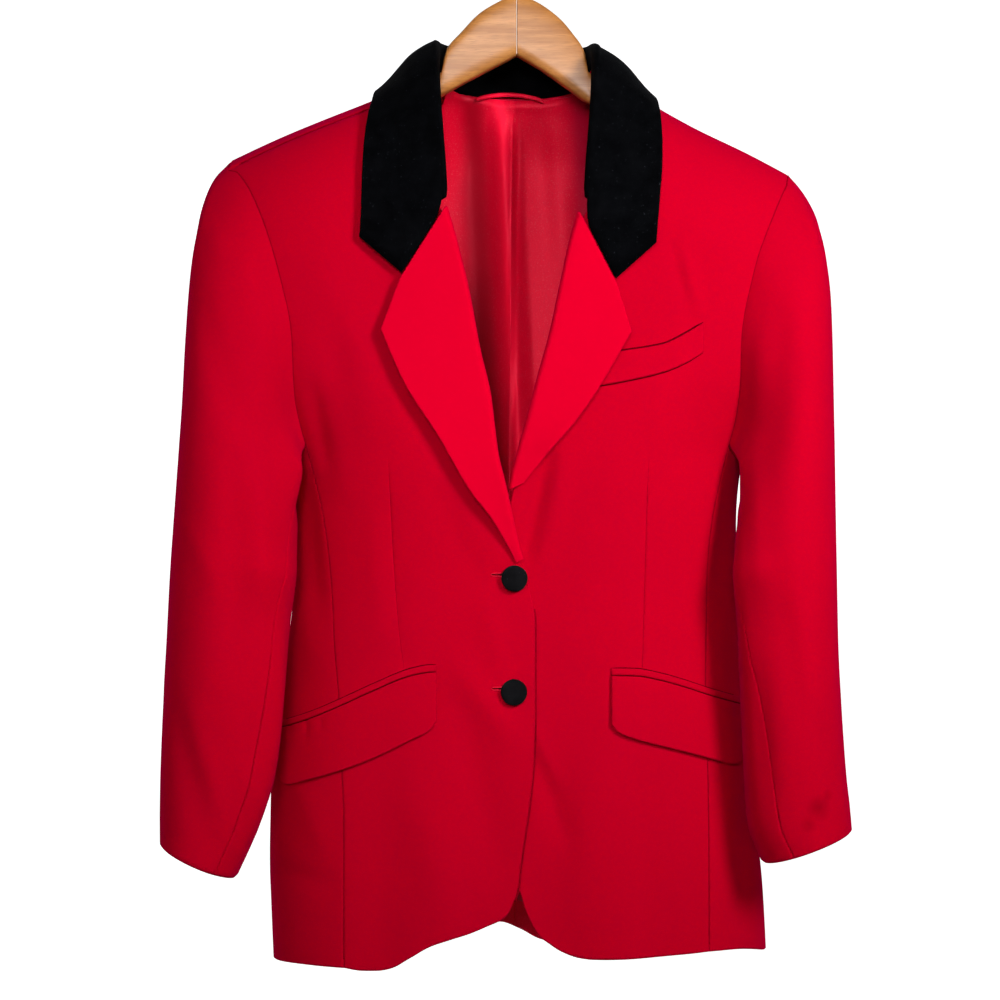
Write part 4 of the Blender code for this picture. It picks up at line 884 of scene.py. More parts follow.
def front_right_edge(hand):
    """Neck, roll and front edge of a front as x and v."""
    rows = [neck_station(hand, part) for part in spread(0, 1, NECK_ROWS)]
    heights = spread(ROLL[hand][0][0], ROLL[hand][-1][0], ROLL_ROWS[hand])[1:]
    rows += down_front(lambda z: roll_line[hand](z) + hand * roll_inset(hand, z), heights)
    left = ARM_ROWS + SEAM_ROWS - NECK_ROWS - ROLL_ROWS[hand]
    return rows + down_front(front_edge[hand], spread(EDGE[hand][0][0], EDGE[hand][-1][0], left)[1:])


def hem_corner(hand):
    """Height of the front's hem at the front-side seam."""
    return HEM[hand][0 if hand < 0 else -1][1]


def front_panel(hand, name):
    left = arm_front(hand) + down_front(front_seam[hand], seam_heights(hem_corner(hand))[1:])
    right = front_right_edge(hand)
    top = [(x, -SHOULDER_V[hand]) for x in spread(left[0][0], right[0][0], FRONT_COLS)]
    table = HEM[hand][::-hand]
    lengths = arc_lengths(table)
    hem_x = through(lengths, column(table, 0))
    hem_z = through(lengths, column(table, 1))
    bottom = [(hem_x(at), -along(hem_x(at), hem_z(at))) for at in spread(0, lengths[-1], FRONT_COLS)]
    bottom[0] = left[-1]
    bottom[-1] = right[-1]
    grid = patch(top, bottom, left, right)
    row_places = closer(grid.shape[0], near=0.006)
    even = np.linspace(0, 1, grid.shape[1])
    every = []
    for r in row_places:
        row = grid[int(round(r * (grid.shape[0] - 1)))]
        z = ridge(row[len(row) // 2][0]) - drop(row[len(row) // 2][1])
        where = float(np.interp(dart_x[hand](z), row[::-hand, 0], even))
        where = where if hand < 0 else 1 - where
        every.append(closer(FRONT_COLS * 3 // 2, [(where, 0.012, 9)]))
    grid = resampled(grid, row_places, np.array(every))
    outer, inner = wall_on(grid, lambda x, v: front_surface(hand, x, v), groove=("right",), pressed=("top",))
    return cloth(name, outer, inner)


def side_panel(hand, name):
    left = [(-round_side(hand, front_seam[hand](z), z), z) for z in seam_heights(hem_corner(hand))]
    right = [(round_side(hand, back_seam(z), z), z) for z in seam_heights(hem_back(hand * BACK_SEAM_X))]
    middle, reach, end = arm_span(hand)
    angles = spread(end, 2 * math.pi - end, SIDE_COLS)
    across = spread(left[0][0], right[0][0], SIDE_COLS)
    top = [(w, middle + reach * math.cos(a)) for w, a in zip(across, angles)]
    bottom = [(w, hem_side(hand, w)) for w in spread(left[-1][0], right[-1][0], SIDE_COLS)]
    bottom[0] = left[-1]
    bottom[-1] = right[-1]
    grid = patch(top, bottom, left, right)
    grid = resampled(grid, closer(grid.shape[0], near=0.01), closer(grid.shape[1] + FINE, near=0.02))

    def place(w, z):
        p = on_side(hand, w, z)
        n = outward(p)
        table = SIDE_CREASES[hand] if w < 0 else BACK_CREASES
        calm = smooth_step(0, 30, abs(w))
        calm *= smooth_step(0, 14, w + round_side(hand, front_seam[hand](z), z))
        calm *= smooth_step(0, 14, round_side(hand, back_seam(z), z) - w)
        if hand < 0:
            swell = 4.5 * bell(w, 26) * bell(z + 640, 62)
        else:
            swell = 5.5 * bell(w, 28) * bell(z + 582, 88)
        return p + n * (creases(table, p[0], z) * calm + swell), n

    outer, inner = wall_on(grid, place)
    cloth(name, outer, inner)
    return top


def back_edges(hand, step):
    """Edges of half the back, top, bottom, left and right. Only each point at this step is kept."""
    seam = [(hand * back_seam(z), z) for z in seam_heights(hem_back(hand * BACK_SEAM_X))[1:]]
    left = arm_back(hand) + [(x, along(x, z)) for x, z in seam]
    shoulder = BACK_COLS - NECK_COLS
    top = [[x, -SHOULDER_V[hand]] for x in spread(left[0][0], hand * NECK_X, shoulder)]
    top += [[hand * x, v] for x, v in neck_behind(hand, NECK_COLS)[1:]]
    last = along(0, hem_back(0))
    right = [[0, v] for v in spread(top[-1][1], last, len(left) - 1)]
    bottom = [[x, along(x, hem_back(x))] for x in spread(left[-1][0], 0, BACK_COLS)]
    bottom[0] = left[-1]
    return [edge[::step] for edge in (top, bottom, left, right)]


def back_panel(hand, name):
    grid = patch(*back_edges(hand, 1))
    coarse = patch(*back_edges(hand, FINE))
    shift = even_out(coarse.copy()) - coarse
    rows = np.linspace(0, 1, grid.shape[0])
    cols = np.linspace(0, 1, grid.shape[1])
    grid += resampled(shift, rows, cols)
    grid = resampled(grid, closer(grid.shape[0], near=0.006), closer(grid.shape[1], near=0.02))

    def place(x, v):
        p, n = body_point(x, v)
        edge = back_seam(p[2]) if p[2] < SIDE_SEAM_TOP else back_armhole(max(p[2], UNDERARM_Z))
        height = creases(BACK_CREASES, x, p[2]) * smooth_step(10, 60, v)
        height *= smooth_step(0, 16, edge - abs(x))
        height -= 0.8 * bell(x, 7) * smooth_step(20, 80, v)
        return p + n * height, n

    outer, inner = wall_on(grid, place)
    return cloth(name, outer, inner)


def lining_fold(x, z):
    """Centre pleat and soft folds of the lining, toward the front."""
    lean = x + 0.05 * (z + 200)
    wave = 7.5 * bell(lean + 9, 9)
    wave -= 3.6 * bell(lean + 40, 13)
    wave += 1.6 * bell(lean + 66, 9)
    wave += 2.2 * bell(lean - 36, 13)
    wave += 1.1 * bell(x + 1.5 - 0.012 * (z + 160), 0.9)
    wave -= 0.8 * bell(x - 2.5 - 0.012 * (z + 160), 2)
    wave += 0.7 * math.sin(0.021 * z + 0.11 * x) * bell(lean - 18, 16)
    fade = smooth_step(-152, -185, z)
    side = 2.4 * smooth_step(36, 52, abs(x)) * smooth_step(-240, -190, z)
    return 1.9 + side + fade * (wave + 2.4)


def lining_panel():
    cols = 130
    rows = 80
    ends = 150
    hem_gap = 24
    places = closer(cols + 1, [(0.5, 0.09, 4)], near=0.01, more=1)
    grid = np.zeros((rows + 1, cols + 1, 2))
    for j, s in enumerate(places):
        x = -ends + 2 * ends * s
        low_neck = along(x, neck_back(x) - 0.6) if abs(x) < 62 else 78
        side_top = 78
        blend = smooth_step(56, 62, abs(x))
        first = low_neck * (1 - blend) + side_top * blend
        last = along(x, hem_back(x) + hem_gap)
        for i in range(rows + 1):
            v = first + (last - first) * i / rows
            z = ridge(x) - drop(v)
            limit = min(ends, abs(half_width(x, z)) - 42)
            grid[i, j] = (x * limit / ends, v)

    def place(x, v):
        p, n = body_point(x, v)
        return p - n * (WALL + lining_fold(x, p[2])), n

    outer, inner = wall_on(grid, place, SATIN, edges=())
    return cloth("lining_back", outer, inner, "lining", [SATIN_RED])


def wall_from_middle(middle, thick, facing, edges=ALL_EDGES):
    """Outer and inner grids either side of a middle surface, thinner at the turned edges."""
    n = facing * units(np.cross(np.gradient(middle, axis=0), np.gradient(middle, axis=1)))
    half = (thick / 2 - turned_edge(edge_gap(middle, edges), ROUND) * 0.8)[..., None]
    return middle + n * half, middle - n * half


def seat_rim(outer, inner, rims, toward):
    """Set the first column of a turned piece against the wall that it is sewn to."""
    for i, (p, n) in enumerate(rims):
        near, far = (inner, outer) if np.dot(toward[i], n) > 0 else (outer, inner)
        near[i, 0] = p
        far[i, 0] = p - n * WALL


def lapel(hand, name):
    """A lapel turned back from the roll line, from the gorge to where it dies into the front edge."""
    gorge = GORGE[hand]
    tips = LAPEL[hand]
    rows = 12 * FINE
    cols = 6 * FINE
    bend = 16
    end_z = LAPEL_END[hand]
    turns = [gorge[0], gorge[1], tips[0][::-1]]
    lengths = arc_lengths(turns)
    at = spread(0, lengths[-1], cols)
    top = np.stack([np.interp(at, lengths, column(turns, k)) for k in (0, 1)], 1)
    low = max(tips[-1][0], end_z - 3)
    stations = front_right_edge(hand)[NECK_ROWS:NECK_ROWS + ROLL_ROWS[hand] + 1]
    stations = sorted((ridge(x) - drop(v), x) for x, v in stations)
    line_z = column(stations, 0)
    line_x = column(stations, 1)
    left = [np.array([roll_line[hand](z), z]) for z in spread(ROLL[hand][0][0], end_z, rows)]
    right = [np.array([lapel_edge[hand](z), z]) for z in spread(tips[0][0], low, rows)]
    bottom = [left[-1] + (right[-1] - left[-1]) * s for s in spread(0, 1, cols)]
    plan = patch(top, bottom, left, right)
    even = np.linspace(0, 1, cols + 1)
    plan = resampled(plan, closer(rows + 1, near=0.012), even)
    places = closer(cols + 1, [(0, 0.03, -5)], near=0.03)
    middle = np.zeros((rows + 1, bend + cols + 1, 3))
    rims = []
    for i in range(rows + 1):
        r = i / rows
        z = plan[i, 0][1]
        radius = roll_radius(hand, z)
        flat = unit(plan[i, 2] - plan[i, 0])
        reach = radius + ROLL_CLEAR
        for _ in range(8):
            at_z = z + flat[1] * reach
            reach = max((float(np.interp(at_z, line_z, line_x)) - plan[i, 0][0]) / flat[0], 0.5)
        edge = plan[i, 0] + flat * reach
        p, n = front_point(hand, *edge)
        e = unit(front_at(edge[0] + flat[0] * 4, edge[1] + flat[1] * 4) - front_at(*edge))
        gap = SEAM + 0.7 + 0.5 * (1 - r) ** 2
        start = p - n * WALL / 2 - e * gap
        rims.append((p - e * gap, n))
        for k in range(bend + 1):
            angle = math.pi * k / bend
            middle[i, k] = start - e * radius * math.sin(angle) + n * radius * (1 - math.cos(angle))
        for j in range(1, cols + 1):
            s = places[j]
            at = [float(np.interp(s, even, plan[i, :, axis])) for axis in (0, 1)]
            q = np.array(at) + (edge - plan[i, 0]) * (1 - s)
            p, n = front_point(hand, *q)
            flat_front = fold(*q, hand)
            near = 2 * radius - WALL / 2
            far = near + (9.5 - near) * (1 - smooth_step(0.45, 0.95, r))
            lift = near + (far - near) * s * s - 0.7 * flat_front * s
            middle[i, bend + j] = p + n * lift
    fade = np.clip(1 - np.arange(rows + 1) / FINE, 0, 1)
    middle[:, :, 2] -= 0.6 * fade[:, None]
    outer, inner = wall_from_middle(middle, WALL, -hand, ("right", "top"))
    rims = [(p - np.array([0, 0, 0.6 * fade[i]]), n) for i, (p, n) in enumerate(rims)]
    seat_rim(outer, inner, rims, outer[:, bend + 2] - inner[:, bend + 2])
    # The lapels take the lighter copy of the wool, which is painted light.
    return cloth(name, outer, inner, "wool", [WOOL_LAPEL_PAINTED_LIGHT, WOOL_LAPEL_PAINTED_LIGHT], turn=0.3 * hand)


def collar():
    """Velvet collar: the stand rises from the neck seam, folds, and falls on the shoulders."""
    x_of, y_of, z_of = (by_z(COLLAR_FOLD, k) for k in (1, 2, 3))
    ex_of, ev_of, el_of = (by_z(COLLAR_EDGE, k) for k in (1, 2, 3))
    parts = spread(0, 0.5, NECK_ROWS) + spread(0.5, 1, NECK_COLS)[1:]
    stand = 8
    bend = 14
    leaf = 40
    leaf_places = closer(leaf + 1, [(0, 0.03, -5)], near=0.03)
    radius = 3.4
    stations = [(-1, a) for a in parts] + [(1, a) for a in reversed(parts[:-1])]
    behind = {hand: neck_behind(hand, NECK_COLS) for hand in HANDS}
    neck = []
    for hand, a in stations:
        if a < 0.5001:
            neck.append(neck_station(hand, 1 - a / 0.5))
        else:
            x, v = behind[hand][round((a - 0.5) * 2 * NECK_COLS)]
            neck.append((hand * x, v))
    seam = [on_body(x, v) for x, v in neck]
    middle = np.zeros((len(stations), stand + bend + leaf + 1, 3))
    rims = []
    for i, (hand, a) in enumerate(stations):
        p = seam[i]
        n = outward(p)
        root = p - n * WALL / 2
        top = np.array([hand * x_of(a), y_of(a), z_of(a)])
        up = unit(top - root)
        height = np.linalg.norm(top - root)
        out = unit(n - up * np.dot(n, up))
        r = min(radius, height * 0.5)
        run = seam[min(i + 1, len(seam) - 1)] - seam[max(i - 1, 0)]
        slide = unit(np.cross(run, n)) * (SEAM + 0.3)
        if np.dot(slide, up) < 0:
            slide = -slide
        rims.append((p + slide, n))
        root = root + slide
        for k in range(stand):
            middle[i, k] = root + up * (height - r) * k / stand
        centre = root + up * (height - r) + out * r
        for k in range(bend + 1):
            angle = math.pi - math.pi * k / bend
            middle[i, stand + k] = centre + out * r * math.cos(angle) + up * r * math.sin(angle)
        edge = above(on_body(hand * ex_of(a), ev_of(a)), el_of(a))
        begin = middle[i, stand + bend]
        for k in range(1, leaf + 1):
            s = leaf_places[k]
            belly = (4 + 4 * smooth_step(0.35, 0.5, a)) * math.sin(math.pi * s) * (1 - s)
            middle[i, stand + bend + k] = begin * (1 - s) + edge * s + out * belly
    ends_step = 3 * FINE
    for end, hand in ((0, -1), (-1, 1)):
        gorge = GORGE[hand]
        corner = 0.62
        base = middle[end, stand + bend].copy()
        target = np.zeros((leaf + 1, 3))
        for k in range(leaf + 1):
            s = leaf_places[k]
            q = [np.interp(s, (0, corner, 1), column(gorge, k)) for k in (0, 1)]
            spot = above(front_at(q[0], q[1] + 1.5), 6.8 - s)
            blend = smooth_step(0, 0.2, s)
            target[k] = base * (1 - blend) + spot * blend
        for m in range(ends_step):
            weight = np.interp(m / FINE, (0, 1, 2, 3), (1, 0.5, 0.2, 0))
            row = m if end == 0 else len(stations) - 1 - m
            moved = target[1:] + (middle[row, stand + bend] - base)
            middle[row, stand + bend + 1:] += (moved - middle[row, stand + bend + 1:]) * weight
        for m in range(FINE):
            row = m if end == 0 else len(stations) - 1 - m
            rise = 2.6 * (1 - m / FINE)
            middle[row, :stand + bend + 1, 2] += rise
            p, n = rims[row]
            rims[row] = (p + np.array([0, 0, rise]), n)
    outer, inner = wall_from_middle(middle, VELVET, -1, ("right", "top", "bottom"))
    seat_rim(outer, inner, rims, inner[:, 2] - outer[:, 2])
    return cloth("collar", outer, inner, "velvet", [VELVET_BLACK])


def armhole_loop(hand, side_top):
    """Angle and point of each station round an armhole, from the shoulder seam forward and under."""
    middle, reach, _ = arm_span(hand)

    def angle_of(z):
        return math.acos(min(max((z - middle) / reach, -1), 1))

    heights = arm_heights(hand)
    loop = []
    for i, (x, v) in enumerate(arm_front(hand)):
        loop.append((angle_of(heights[i]), front_surface(hand, x, v)[0]))
    end = loop[-1][0]
    for j in range(1, SIDE_COLS):
        s = j / SIDE_COLS
        w, z = side_top[j]
        loop.append((end + (2 * math.pi - 2 * end) * s, on_side(hand, w, z)))
    behind = [(2 * math.pi - angle_of(z), on_body(x, v)) for z, (x, v) in zip(heights, arm_back(hand))]
    return loop + behind[:0:-1]


SLEEVE_TIMES = [0, 0.04, 0.09, 0.15, 0.22, 0.3, 0.38, 0.46, 0.54, 0.6, 0.66, 0.72, 0.79, 0.86, 0.92, 1]


def sleeve(hand, side_top):
    """Top sleeve and under sleeve, rings that fan out from the armhole and hang forward."""
    table = [(row[0], *row[4 if hand < 0 else 5], *row[1:4]) for row in SLEEVE]
    cols = [by_z(table, k) for k in range(1, 9)]
    front_angle = cols[4]
    back_angle = cols[7]
    loop = armhole_loop(hand, side_top)

    def ring(t, angle):
        ox, oz, ix, iz, _, y, b, _ = (f(t) for f in cols)
        c = np.array([(ox + ix) / 2, y, (oz + iz) / 2])
        a = np.array([(ox - ix) / 2, 0, (oz - iz) / 2])
        cosine = math.cos(angle)
        bend = 0
        if t > 0.4:
            bend = 2.4 * bell(t - 0.62, 0.035) - 2 * bell(t - 0.70, 0.04)
            bend *= bell(angle - 2.35, 0.7)
        if hand < 0:
            full = 17 * bell(t - 0.2, 0.18) + 6.5 * bell(t - 0.84, 0.14)
        else:
            full = -9 * bell(t - 0.2, 0.18) - 6.5 * bell(t - 0.62, 0.24)
        full *= bell(angle - 2.6, 0.38)
        sine = math.sin(angle)
        if sine > 0:
            sine = sine ** (1 - 0.22 * smooth_step(0.02, 0.2, t))
        return c + a * cosine * (1 + bend / 46) + np.array([full, -(b + bend) * sine, 0])

    coarse = np.linspace(0, 1, len(SLEEVE_TIMES))
    count_t = (len(SLEEVE_TIMES) - 1) * FINE + 1
    times = [float(np.interp(s, coarse, SLEEVE_TIMES)) for s in closer(count_t, near=0.01)]
    count = len(loop)
    front_index = ARM_ROWS + 2 * FINE
    back_index = ARM_ROWS + SIDE_COLS - FINE
    start_front = loop[front_index][0]
    start_back = loop[back_index][0]
    whole = np.zeros((len(times), count, 3))
    first_ring = [ring(0, angle) for angle, _ in loop]
    for m, t in enumerate(times):
        ease = smooth_step(0, 0.12, t)
        fs = start_front * (1 - ease) + math.radians(front_angle(t)) * ease
        bs = start_back * (1 - ease) + math.radians(back_angle(t)) * ease
        fade = (1 - smooth_step(0, 0.36, t)) ** 1.5
        for k, (angle0, point) in enumerate(loop):
            if front_index <= k <= back_index:
                w = (angle0 - start_front) / (start_back - start_front)
                angle = fs + (bs - fs) * w
            else:
                a0 = angle0 if k < front_index else angle0 - 2 * math.pi
                w = (a0 - (start_back - 2 * math.pi)) / (start_front - (start_back - 2 * math.pi))
                angle = (bs - 2 * math.pi) + (fs - (bs - 2 * math.pi)) * w
            whole[m, k] = ring(t, angle) + (point - first_ring[k]) * fade
    wrapped = np.concatenate([whole[:, -1:], whole, whole[:, :1]], axis=1)
    normals = -hand * units(np.cross(np.gradient(whole, axis=0), wrapped[:, 2:] - wrapped[:, :-2]))
    for k in range(count):
        share = smooth_step(-0.3, 0.4, math.cos(loop[k][0]))
        for m in range(FINE):
            part = share * (1 - m / FINE)
            normals[m, k] = unit(normals[m, k] * (1 - part) + outward(loop[k][1]) * part)
    for m, t in enumerate(times):
        calm = smooth_step(0, 0.1, t)
        for k in range(count):
            p = whole[m, k]
            facing = normals[m, k, 1]
            height = creases(SLEEVE_CREASES[hand], p[0], p[2]) * smooth_step(0.1, -0.35, facing)
            height += creases(SLEEVE_BACK_CREASES, abs(p[0]), p[2]) * smooth_step(-0.1, 0.35, facing)
            whole[m, k] = p + normals[m, k] * height * calm
    for k in range(count):
        whole[0, k] += unit(whole[0, k] - whole[1, k]) * 1.2 - normals[0, k] * 0.5
    side = HANDS[hand]
    spans = {
        "sleeve_top_": range(back_index - count, front_index + 1),
        "sleeve_under_": range(front_index, back_index + 1),
    }
    for name, picks in spans.items():
        both = np.concatenate([whole, normals], axis=2)[:, list(picks)]
        both = resampled(both, np.linspace(0, 1, len(times)), closer(len(picks) + FINE, near=0.02, more=4))
        body = both[..., :3].copy()
        away = units(both[..., 3:])
        for end, inside in ((0, 1), (-1, -2)):
            for m in range(len(times)):
                body[m, end] += unit(body[m, inside] - body[m, end]) * SEAM * 0.6
        fall = turned_edge(edge_gap(body, ALL_EDGES))[..., None]
        outer = body - away * fall
        inner = body - away * (WALL - 0.5 * fall)
        cloth(name + side, outer, inner)


def laid_strip(name, hand, table, upper, lower, rows, thick, lift_top, lift_low, pucker=()):
    """A pocket piece lying on the body, made from the surface moved out."""
    xs = column(table, 0)
    cols = 90
    top_of = through(xs, upper)
    low_of = through(xs, lower)
    first = round_side(hand, xs[0], upper[0])
    last = round_side(hand, xs[-1], upper[-1])
    base = np.zeros((rows + 1, cols + 1, 3))
    away = np.zeros((rows + 1, cols + 1, 3))
    across = closer(cols + 1, near=0.02, more=4)
    down = closer(rows + 1, near=0.05, more=2)
    for j, s in enumerate(across):
        w = first + (last - first) * s
        x = xs[0]
        for _ in range(8):
            half = half_width(hand, top_of(x))
            a = min(w, SIDE_T * math.pi / 2)
            x = hand * (half - SIDE_T * (1 - math.cos(a / SIDE_T)) - (w - a))
        for i, r in enumerate(down):
            z = top_of(x) * (1 - r) + low_of(x) * r
            lift = lift_top * (1 - r) + lift_low * r - 0.5 * dart(hand, x, z)
            lift -= 0.9 * sum(bell(x - px, wide) * bell(z - pz, tall) for px, pz, wide, tall in pucker)
            p, away[i, j] = front_point(hand, x, z)
            base[i, j] = p + away[i, j] * lift
    gap = edge_gap(base, ALL_EDGES)
    outer = base + away * (thick - turned_edge(gap, min(ROUND, thick * 0.6)))[..., None]
    return cloth(name, outer, base)


PUCKERS = {
    # hand: x, z, half width, half height
    -1: [(-175, -663, 2.2, 7), (-162, -660, 1.8, 9), (-150, -656, 2.2, 5)],
    1: [(172, -648, 2.5, 6)],
}


def pockets():
    for hand, side in HANDS.items():
        table = FLAP[hand]
        upper = column(table, 1)
        lower = column(table, 2)
        laid_strip("flap_" + side, hand, table, upper, lower, 36, 2.6, 0.5, 1.6, PUCKERS[hand])
        low = [z + 0.6 for z in upper]
        high = [z + 0.6 + JET_TALL for z in upper]
        laid_strip("jet_" + side, hand, table, high, low, 14, 2, 0.4, 0.5)
    laid_strip("breast_welt", 1, WELT, column(WELT, 1), column(WELT, 2), 28, 2.4, 0.5, 0.5)


def turned(name, base, n, profile, turns, slot, material, wobble=0):
    """A round piece turned about the direction n, from a profile of radius and height."""
    side = unit(np.cross(n, np.array([0, 0, 1])))
    up = unit(np.cross(side, n))
    points = [base + n * profile[0][1]]
    faces = []
    for r, h in profile[1:-1]:
        for k in range(turns):
            a = 2 * math.pi * k / turns
            swell = 1 + wobble * math.sin(3 * a + 0.4) + wobble * 0.6 * math.sin(5 * a)
            points.append(base + n * h + side * r * swell * math.cos(a) + up * r * swell * math.sin(a))
    points.append(base + n * profile[-1][1])
    rings = len(profile) - 2
    for k in range(turns):
        m = (k + 1) % turns
        faces.append((0, 1 + m, 1 + k))
        for q in range(rings - 1):
            a = 1 + q * turns
            b = a + turns
            faces.append((a + k, a + m, b + m, b + k))
        a = 1 + (rings - 1) * turns
        faces.append((a + k, a + m, len(points) - 1))
    thing = add_mesh("round_" + name, np.array(points) * MM, faces, [material])
    return settle(thing, slot, name)


def line_on(hand, places, lift):
    """Points over a front at its places x and z."""
    return [p + n * lift for p, n in (front_point(hand, x, z) for x, z in places)]


def mouth(name, hand, table, number, rise, lift, radius):
    """The dark line along a pocket's edge: a tube of painted shadow where the cloth dips in."""
    height = through(column(table, 0), [row[number] + rise for row in table])
    steps = 110
    xs = [table[0][0] + (table[-1][0] - table[0][0]) * s for s in spread(0.004, 0.996, steps)]
    radii = [radius * min(1, 0.25 + 0.1 * min(i, steps - i)) for i in range(steps + 1)]
    tube(name, line_on(hand, [(x, height(x)) for x in xs], lift), radii, 6, MOUTH_SHADOW, "wool")


def mouths():
    for hand, side in HANDS.items():
        # Each pocket's opening, jet and welt edge gets a dark tube of painted shadow.
        mouth("mouth_" + side, hand, FLAP[hand], 1, 0.3, 2, 0.75)
        mouth("jet_line_" + side, hand, FLAP[hand], 1, 0.9 + JET_TALL, 0.35, 0.6)
    mouth("mouth_breast", 1, WELT, 1, 0.5, 0.8, 0.95)
    mouth("welt_line", 1, WELT, 2, -0.3, 0.3, 0.45)


def sunk(name, path, radius):
    tube("line_" + name, path, radius, 6, SEAM_SHADOW, "wool")


def painted_seam_shadows():
    """Thin dark lines of painted shade where the cloth sinks into its seams."""
    sunk("shoulder", [above(on_body(x, -SHOULDER_V[-1]), -0.25) for x in spread(-114, -217, 90)], 0.6)
    for hand, side in HANDS.items():
        armhole = (front_surface(hand, x, v) for x, v in arm_front(hand)[1:])
        sunk("armhole_" + side, [p - n * 0.3 for p, n in armhole], 0.55)
        low = -838 if hand < 0 else -827
        seam = [(front_seam[hand](z), z) for z in spread(SIDE_SEAM_TOP + 1, low, 160)]
        sunk("side_" + side, line_on(hand, seam, -0.4), 0.55)
        waist = [(dart_x[hand](z), z) for z in spread(DART[hand][0][0], DART[hand][-1][0], 90)]
        thin = [0.34 * min(1, 0.2 + 0.04 * i) for i in range(91)]
        sunk("dart_" + side, line_on(hand, waist, -0.1), thin)
    # Painted shadow along the right front's edge, lying on the left front.
    edge = [(front_edge[-1](z) + 0.9, z) for z in spread(-566, -792, 120)]
    sunk("front_edge", line_on(-1, edge, -1.2), 0.62)


def button(name, x, z):
    """A cloth-covered button, domed, with the cover drawn in round its rim."""
    p, n = front_point(-1, x, z)
    profile = [(0, 0), (4, 0), (4.2, 1), (6.4, 1.3), (8.8, 1.5)]
    for a in spread(-70, 60, 9):
        r = math.radians(a)
        profile.append((BUTTON_R - 1.7 + 1.7 * math.cos(r), 3.2 + 1.6 * math.sin(r)))
    for s in spread(0, 0.92, 9)[1:]:
        profile.append(((BUTTON_R - 0.85) * (1 - s), 4.6 + (BUTTON_H - 4.3) * (1 - (1 - s) ** 2)))
    profile.append((0, BUTTON_H + 0.3))
    turned(name, p + n * 0.5, n, profile, 64, "button", BUTTON_CLOTH, wobble=0.008)


def tube(name, path, radius, turns, material, slot, nodes=(), closed=False):
    """A tube along a path of points; radius may be a number or a list."""
    path = np.asarray(path, float)
    count = len(path)
    radii = np.broadcast_to(radius, count)
    points = []
    faces = []
    for i, p in enumerate(path):
        if closed:
            d = unit(path[(i + 1) % count] - path[i - 1])
        else:
            d = unit(path[min(i + 1, count - 1)] - path[max(i - 1, 0)])
        side = np.array([0, 1, 0])
        across = unit(np.cross(d, side))
        side = unit(np.cross(across, d))
        for k in range(turns):
            a = 2 * math.pi * k / turns
            points.append(p + side * radii[i] * math.cos(a) + across * radii[i] * math.sin(a))
    for i in range(count if closed else count - 1):
        after = (i + 1) % count
        for k in range(turns):
            m = (k + 1) % turns
            faces.append((i * turns + k, after * turns + k, after * turns + m, i * turns + m))
    if not closed:
        faces.append(tuple(range(turns)))
        faces.append(tuple(reversed([(count - 1) * turns + k for k in range(turns)])))
    thing = add_mesh(name, np.array(points) * MM, faces, [material])
    return settle(thing, slot, *nodes)


def hook():
    path = [(1.5, 0, z) for z in spread(-76.9, -66, 6)]
    path += [(1.2, 0, -62)]
    foot = path[-1]
    first = (0, 0, HOOK_WIRE - HOOK_R - HOOK_R)
    path += [tuple(a + (b - a) * s for a, b in zip(foot, first)) for s in spread(0, 1, 8)[1:-1]]
    for a in spread(-90, 195, 90):
        r = math.radians(a)
        path.append((HOOK_R * math.cos(r), 0, HOOK_WIRE - HOOK_R + HOOK_R * math.sin(r)))
    tube("round_hook", path, HOOK_WIRE, 20, STEEL, "steel", ["hanger_hook"])


def hanger_arm(hand, name):
    """A wooden arm with its long edges rounded."""
    table = ARM[hand]
    half = ARM_THICK / 2
    top_of = through(column(table, 0), column(table, 1))
    low_of = through(column(table, 0), column(table, 2))
    turns = 40
    points = []
    stations = closer(100, near=0.01, more=2)
    for s in stations:
        x = table[0][0] + (table[-1][0] - table[0][0]) * s
        top = top_of(x)
        low = low_of(x)
        end = 1 - 0.35 * smooth_step(0.985, 1, s)
        for k in range(turns):
            a = 2 * math.pi * (k + 0.5) / turns
            y = squared(math.cos(a), 0.42) * half * end
            h = squared(math.sin(a), 0.42) * (top - low) / 2 * end
            points.append((x, y, (top + low) / 2 + h))
    faces = []
    for i in range(len(stations) - 1):
        for k in range(turns):
            m = (k + 1) % turns
            ring = (i * turns + k, i * turns + m, (i + 1) * turns + m, (i + 1) * turns + k)
            faces.append(ring if hand < 0 else ring[::-1])
    first = tuple(range(turns))
    last = tuple((len(stations) - 1) * turns + k for k in range(turns))
    faces.append(first[::-1] if hand < 0 else first)
    faces.append(last if hand < 0 else last[::-1])
    thing = add_mesh("round_" + name, np.array(points) * MM, faces, [WOOD[hand]])
    return settle(thing, "wood", name)


def hanger_loop():
    """A short tape across the back of the neck, just above the seam."""
    cols = 60
    rows = 6
    outer = np.zeros((rows + 1, cols + 1, 3))
    inner = np.zeros((rows + 1, cols + 1, 3))
    for j in range(cols + 1):
        s = j / cols
        x = -31 + 54 * s
        rise = 5 * math.sin(math.pi * s) ** 0.7
        p = on_body(x, along(x, -156))
        for i in range(rows + 1):
            r = i / rows
            crown = 0.35 * math.sin(math.pi * r)
            y = p[1] - WALL - 6.3
            z = -153.6 + rise - 1.4 * s - 3.4 * r
            inner[i, j] = (x, y, z)
            outer[i, j] = (x, y - 0.9 - crown, z)
    return cloth("hanger_loop", outer, inner, "lining", [SATIN_RED])


